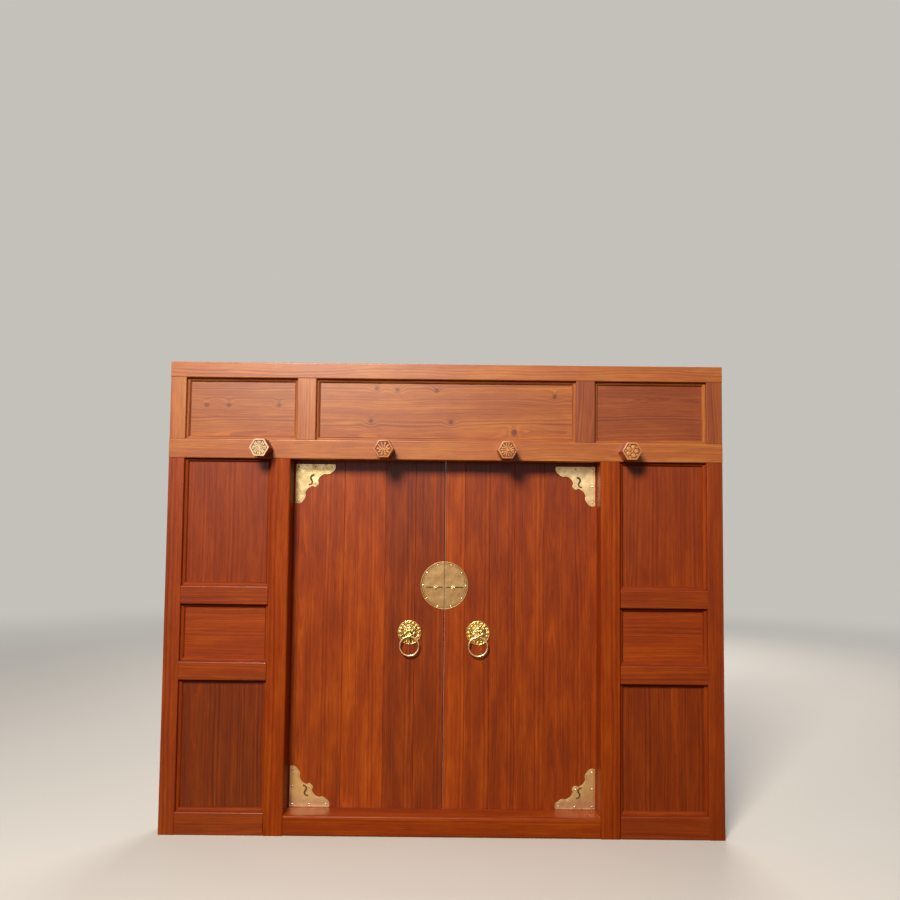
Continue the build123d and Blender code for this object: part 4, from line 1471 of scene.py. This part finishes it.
@dataclass
class Knockers:
    """Lion masks cast in brass, each with a ring in its mouth.

    Sizes are in millimetres. The crest is a row of smaller curls over the brow: their number,
    distance from the middle, height and size, and the first one's angle and the step in degrees.
    """

    spacing: float = 440
    height: float = 1.228
    board_face: float = 0.083
    radius: float = 77.5
    dish: float = 4
    rim: float = 4
    bore_place: tuple[float, float] = (-22, 34)
    bore_radius: float = 7.5
    mane_ring: float = 60.5
    mane_count: int = 16
    crest: tuple[float, ...] = (5, 46, 9, 0.8, 50, 20)
    curl_beads: int = 17
    curl_step: float = 38
    curl_reach: float = 7.8
    curl_bead: float = 3.5
    voxel: float = 0.9
    brass: YellowBrass = YellowBrass(
        "brass_cast_burnished", bright="#dfc07c", film="#5e4019", roughness=0.24, film_share=0.2,
        hollows=True)
    ring_brass: YellowBrass = YellowBrass(
        "brass_rod_polished", bright="#f6dfb0", roughness=0.26, film_share=0.2)
    lumps: tuple[Lump, ...] = (
        Lump((0, 2, 4), (44, 46, 18)),
        Lump((0, 27, 13), (24, 15, 12)),
        Lump((28, -9, 12), (16, 19, 13), paired=True),
        Lump((18, 18.5, 22), (13, 4.6, 6), turn=16, paired=True),
        Lump((30, 21, 18), (5.2, 5.2, 5.5), paired=True),
        Lump((6, 15, 24), (4.5, 5.5, 5), paired=True),
        Lump((16.5, 8, 19), (8.2, 6.6, 7.5), paired=True),
        Lump((16.5, 7.6, 25.6), (3, 3, 2), paired=True),
        Lump((16.5, 12.2, 22.5), (9.6, 2.4, 4.6), turn=8, paired=True),
        Lump((16.5, 2.8, 20.5), (8.6, 2, 4.2), turn=-6, paired=True),
        Lump((0, 8, 23), (6.5, 14, 8)),
        Lump((0, -3.5, 33), (9, 6.4, 7.5)),
        Lump((8, -5.5, 31.5), (5.8, 5, 6), paired=True),
        Lump((10, -14, 29), (13, 9.5, 12), paired=True),
        Lump((0, -22, 34), (13, 12.6, 12.4)),
        Lump((0, -34, 24), (16, 6.5, 12)),
        Lump((19, -27, 17), (11, 10, 10), paired=True),
        Lump((25, -20, 19), (4, 4, 4.5), paired=True),
        Lump((29, -13.5, 20), (4, 4, 4.5), paired=True),
        Lump((0, -45, 9), (6, 10, 8)),
        Lump((10, -44, 9), (5, 10, 7), turn=-24, paired=True),
        Lump((19, -40, 9), (5, 10, 6.5), turn=-42, paired=True),
        Lump((37, 27, 12), (8, 13, 8), turn=32, paired=True),
        Lump((37, 27, 19), (4, 8, 3), turn=32, paired=True),
        Lump((0, 40, 15), (6, 7, 6)),
    )

    def sculpt(self) -> list[Piece]:
        """Lay on the lumps that make the lion's head.

        Returns:
            The lumps.
        """
        clay = []
        for lump in self.lumps:
            x, y, z = lump.place
            for side in ((1, -1) if lump.paired else (1,)):
                clay.append(ball((x * side, y, z), lump.radii, lump.turn * side, detail=24))
        return clay

    def curl(self) -> Piece:
        """Make one curl of the mane, wound up like a snail's shell.

        Returns:
            The curl, standing on z = 0.
        """
        beads = []
        for i in range(self.curl_beads):
            along = i / (self.curl_beads - 1)
            reach = self.curl_reach * (1 - along) ** 0.9
            size = self.curl_bead * (1 - 0.3 * along)
            beads.append(ball(
                polar(reach, math.radians(self.curl_step * i), 1.5 + 6.5 * along), (size,) * 3, detail=12))
        beads.append(ball((0, 0, 0), (9, 9, 5), detail=16))
        return join("curl", beads)

    def mane(self) -> list[Piece]:
        """Set the curls of the mane round the head, and smaller ones over its brow.

        Returns:
            The curls.
        """
        curl = self.curl()
        row = []
        for i in range(self.mane_count):
            turn = math.tau * i / self.mane_count + math.pi / 2
            change = MIRROR if math.cos(turn) < -0.01 else Matrix.Identity(4)
            row.append((self.mane_ring, turn, self.dish, change))
        count, ring, height, size, first, step = self.crest
        for i in range(count):
            row.append((ring, math.radians(first + step * i), height, Matrix.Scale(size, 4)))
        curls = []
        for ring, turn, height, change in row:
            place = Matrix.Translation(mm(*polar(ring, turn, height)))
            curls.append(copy_of(curl, "curl_copy", place @ Matrix.Rotation(turn, 4, "Z") @ change))
        discard(curl)
        return curls

    def mask(self) -> Piece:
        """Make the whole mask in one casting, its back at z = 0.

        Returns:
            The mask.
        """
        clay = self.sculpt() + self.mane()
        clay.append(shape(
            bpy.ops.mesh.primitive_cylinder_add, "dish", vertices=96, radius=(self.radius - 1) * MM,
            depth=self.dish * MM, location=mm(0, 0, self.dish / 2)))
        clay.append(shape(
            bpy.ops.mesh.primitive_torus_add, "rim", major_radius=(self.radius - self.rim) * MM,
            minor_radius=self.rim * MM, major_segments=96, minor_segments=16,
            location=mm(0, 0, self.rim)))
        mask = fuse("mask", clay, self.voxel, 2)
        cut_away(mask, settle(shape(
            bpy.ops.mesh.primitive_cylinder_add, "bore", vertices=48, radius=self.bore_radius * MM,
            depth=self.radius * MM, location=mm(0, *self.bore_place), rotation=(0, math.radians(90), 0))))
        slice_off(mask, (0, 0, 0), (0, 0, -1))
        return mask

    def build(self) -> None:
        """Make both masks in place of the plain ones, and finish the rings."""
        mask = self.mask()
        for side, sign, turn in (("right", 1, Matrix.Identity(4)), ("left", -1, MIRROR)):
            place = on_front(sign * self.spacing / 2 * MM, self.board_face, self.height)
            lion = copy_of(mask, f"{side}_lion_mask", place @ turn)
            tidy_mesh(lion, 60)
            dress(lion, self.brass.material(), "brass", f"{side}_leaf", f"{side}_knocker")
            finish_node(f"{side}_ring", self.ring_brass.material())
            finish_node(f"{side}_nails", self.ring_brass.material())
        discard(mask)


@dataclass(frozen=True)
class Softbox:
    """A square lamp, with its place and what it faces in metres and its power in watts."""

    name: str
    place: Point
    aim: Point
    side: float
    power: float
    colour: str

    def hang(self) -> None:
        """Hang the lamp where the camera doesn't see it."""
        data = bpy.data.lights.new(self.name, "AREA")
        data.size = self.side
        data.energy = self.power
        data.color = linear(self.colour)[:3]
        lamp = bpy.data.objects.new(self.name, data)
        lamp.location = self.place
        lamp.rotation_euler = (Vector(self.aim) - Vector(self.place)).to_track_quat("-Z", "Y").to_euler()
        lamp.visible_camera = False
        bpy.context.scene.collection.objects.link(lamp)


@dataclass
class Studio:
    """A pale floor, a soft sky of light and the camera where the photograph was taken.

    The room lights all things a little. What is varnished or bright mirrors a sunlit yard: warm
    paving, a dark line at its far end and a white sky that dims towards one side. The ramps run
    from straight down at 0 to straight up at 1.
    """

    camera_place: Point = (0.027, -5.759, 2.039)
    pitch: float = 3.57
    roll: float = 0.6
    lens: float = 36.0
    sensor: float = 36.0
    clip_end: float = 200.0
    lamps: tuple[Softbox, ...] = (
        Softbox("key", (-2.0, -7.8, 6.4), (0, 0, 1.5), 2.2, 1080, "#fff4e6"),
        Softbox("overhead", (0, 0, 9.0), (0, 0.2, 0), 7.0, 120, "#f4f7ff"),
        Softbox("back_key", (2.2, 8.6, 5.6), (0, 0, 1.4), 5.5, 560, "#fff6ec"),
    )
    room: tuple[tuple[float, str], ...] = ((0.48, "#8a847c"), (0.54, "#e6e9ee"))
    ambient: float = 0.14
    yard: tuple[tuple[float, str], ...] = (
        (0.36, "#d4a468"), (0.46, "#40301c"), (0.56, "#fbfbff"), (0.68, "#fbfbff"), (0.85, "#e6e9ee"))
    yard_light: float = 1.3
    yard_dim: float = 0.3
    yard_fade: tuple[float, float] = (-0.1, 0.26)
    floor_size: float = 60.0
    floor_colour: str = "#d9d6d0"
    floor_mottle: float = 833 * MM
    backdrop: str = "#c4c1bb"
    sweep: tuple[float, float] = (5.0, 14.0)

    def build(self) -> None:
        """Set up the camera, the lights, the surroundings and the floor."""
        self.camera()
        for lamp in self.lamps:
            lamp.hang()
        self.surroundings()
        self.floor()

    def camera(self) -> None:
        """Place the camera at the photograph's viewpoint."""
        data = bpy.data.cameras.new("camera")
        data.lens = self.lens
        data.sensor_width = self.sensor
        data.clip_end = self.clip_end
        camera = bpy.data.objects.new("camera", data)
        camera.location = self.camera_place
        upright = Matrix.Rotation(math.radians(90 + self.pitch), 4, "X")
        camera.rotation_euler = (upright @ Matrix.Rotation(math.radians(self.roll), 4, "Z")).to_euler()
        bpy.context.scene.collection.objects.link(camera)
        bpy.context.scene.camera = camera

    def surroundings(self) -> None:
        """Light the scene from all round, and show the camera a plain backdrop."""
        world = bpy.data.worlds.new("studio")
        bpy.context.scene.world = world
        world.use_nodes = True
        tree = world.node_tree
        tree.nodes.clear()
        aside, _, up = add(tree, "SeparateXYZ", (add(tree, "TexCoord").outputs["Generated"],)).outputs
        level = weighed(tree, 0.5, (up, 0.5))
        light = add(tree, "MapRange", {
            "Value": aside, "From Min": self.yard_fade[0], "From Max": self.yard_fade[1],
            "To Min": self.yard_light, "To Max": self.yard_light * self.yard_dim,
        }, interpolation_type="SMOOTHSTEP")
        room, yard = (
            add(tree, "Background", (add(tree, "ValToRGB", (level,), stops=stops), strength))
            for stops, strength in ((self.room, self.ambient), (self.yard, light)))
        path = add(tree, "LightPath").outputs
        lit = add(tree, "MixShader", (path["Is Glossy Ray"], room, yard))
        backdrop = add(tree, "Background", (self.backdrop, 1.0))
        add(tree, "OutputWorld", (add(tree, "MixShader", (path["Is Camera Ray"], lit, backdrop)),))

    def floor(self) -> None:
        """Lay a pale floor, dull and mottled like screed, that runs into the backdrop far away."""
        floor = shape(bpy.ops.mesh.primitive_plane_add, "floor", size=self.floor_size)
        material, tree = new_material("pale_screed")
        place = add(tree, "TexCoord").outputs["Object"]
        mottle = add(tree, "TexNoise", {"Vector": place, "Scale": 1 / self.floor_mottle, "Detail": 6.0})
        rough = add(tree, "MapRange", {"Value": mottle, "To Min": 0.75, "To Max": 0.95})
        screed = add(tree, "BsdfPrincipled", {"Base Color": self.floor_colour, "Roughness": rough})
        reach = add(tree, "VectorMath", (place,), operation="LENGTH").outputs["Value"]
        far = add(tree, "MapRange", {
            "Value": reach, "From Min": self.sweep[0], "From Max": self.sweep[1],
        }, interpolation_type="SMOOTHSTEP")
        curtain = add(tree, "Emission", (self.backdrop,))
        add(tree, "OutputMaterial", (add(tree, "MixShader", (far, screed, curtain)),))
        floor.data.materials.append(material)
        floor.visible_glossy = False
        floor.visible_diffuse = False


def main() -> None:
    """Build and dress every sub-assembly, then the studio."""
    logging.basicConfig(level=logging.INFO)
    joinery = Joinery()
    joinery.build()
    Leaves().build(joinery)
    Beading(joinery.rail_wood, joinery.top_wood).build(joinery)
    PinRow(joinery.top_wood).build()
    CornerPlates().build()
    LockFittings().build()
    Knockers().build()
    Studio().build()
    bpy.context.scene.view_settings.view_transform = "Standard"


if __name__ == "__main__":
    main()
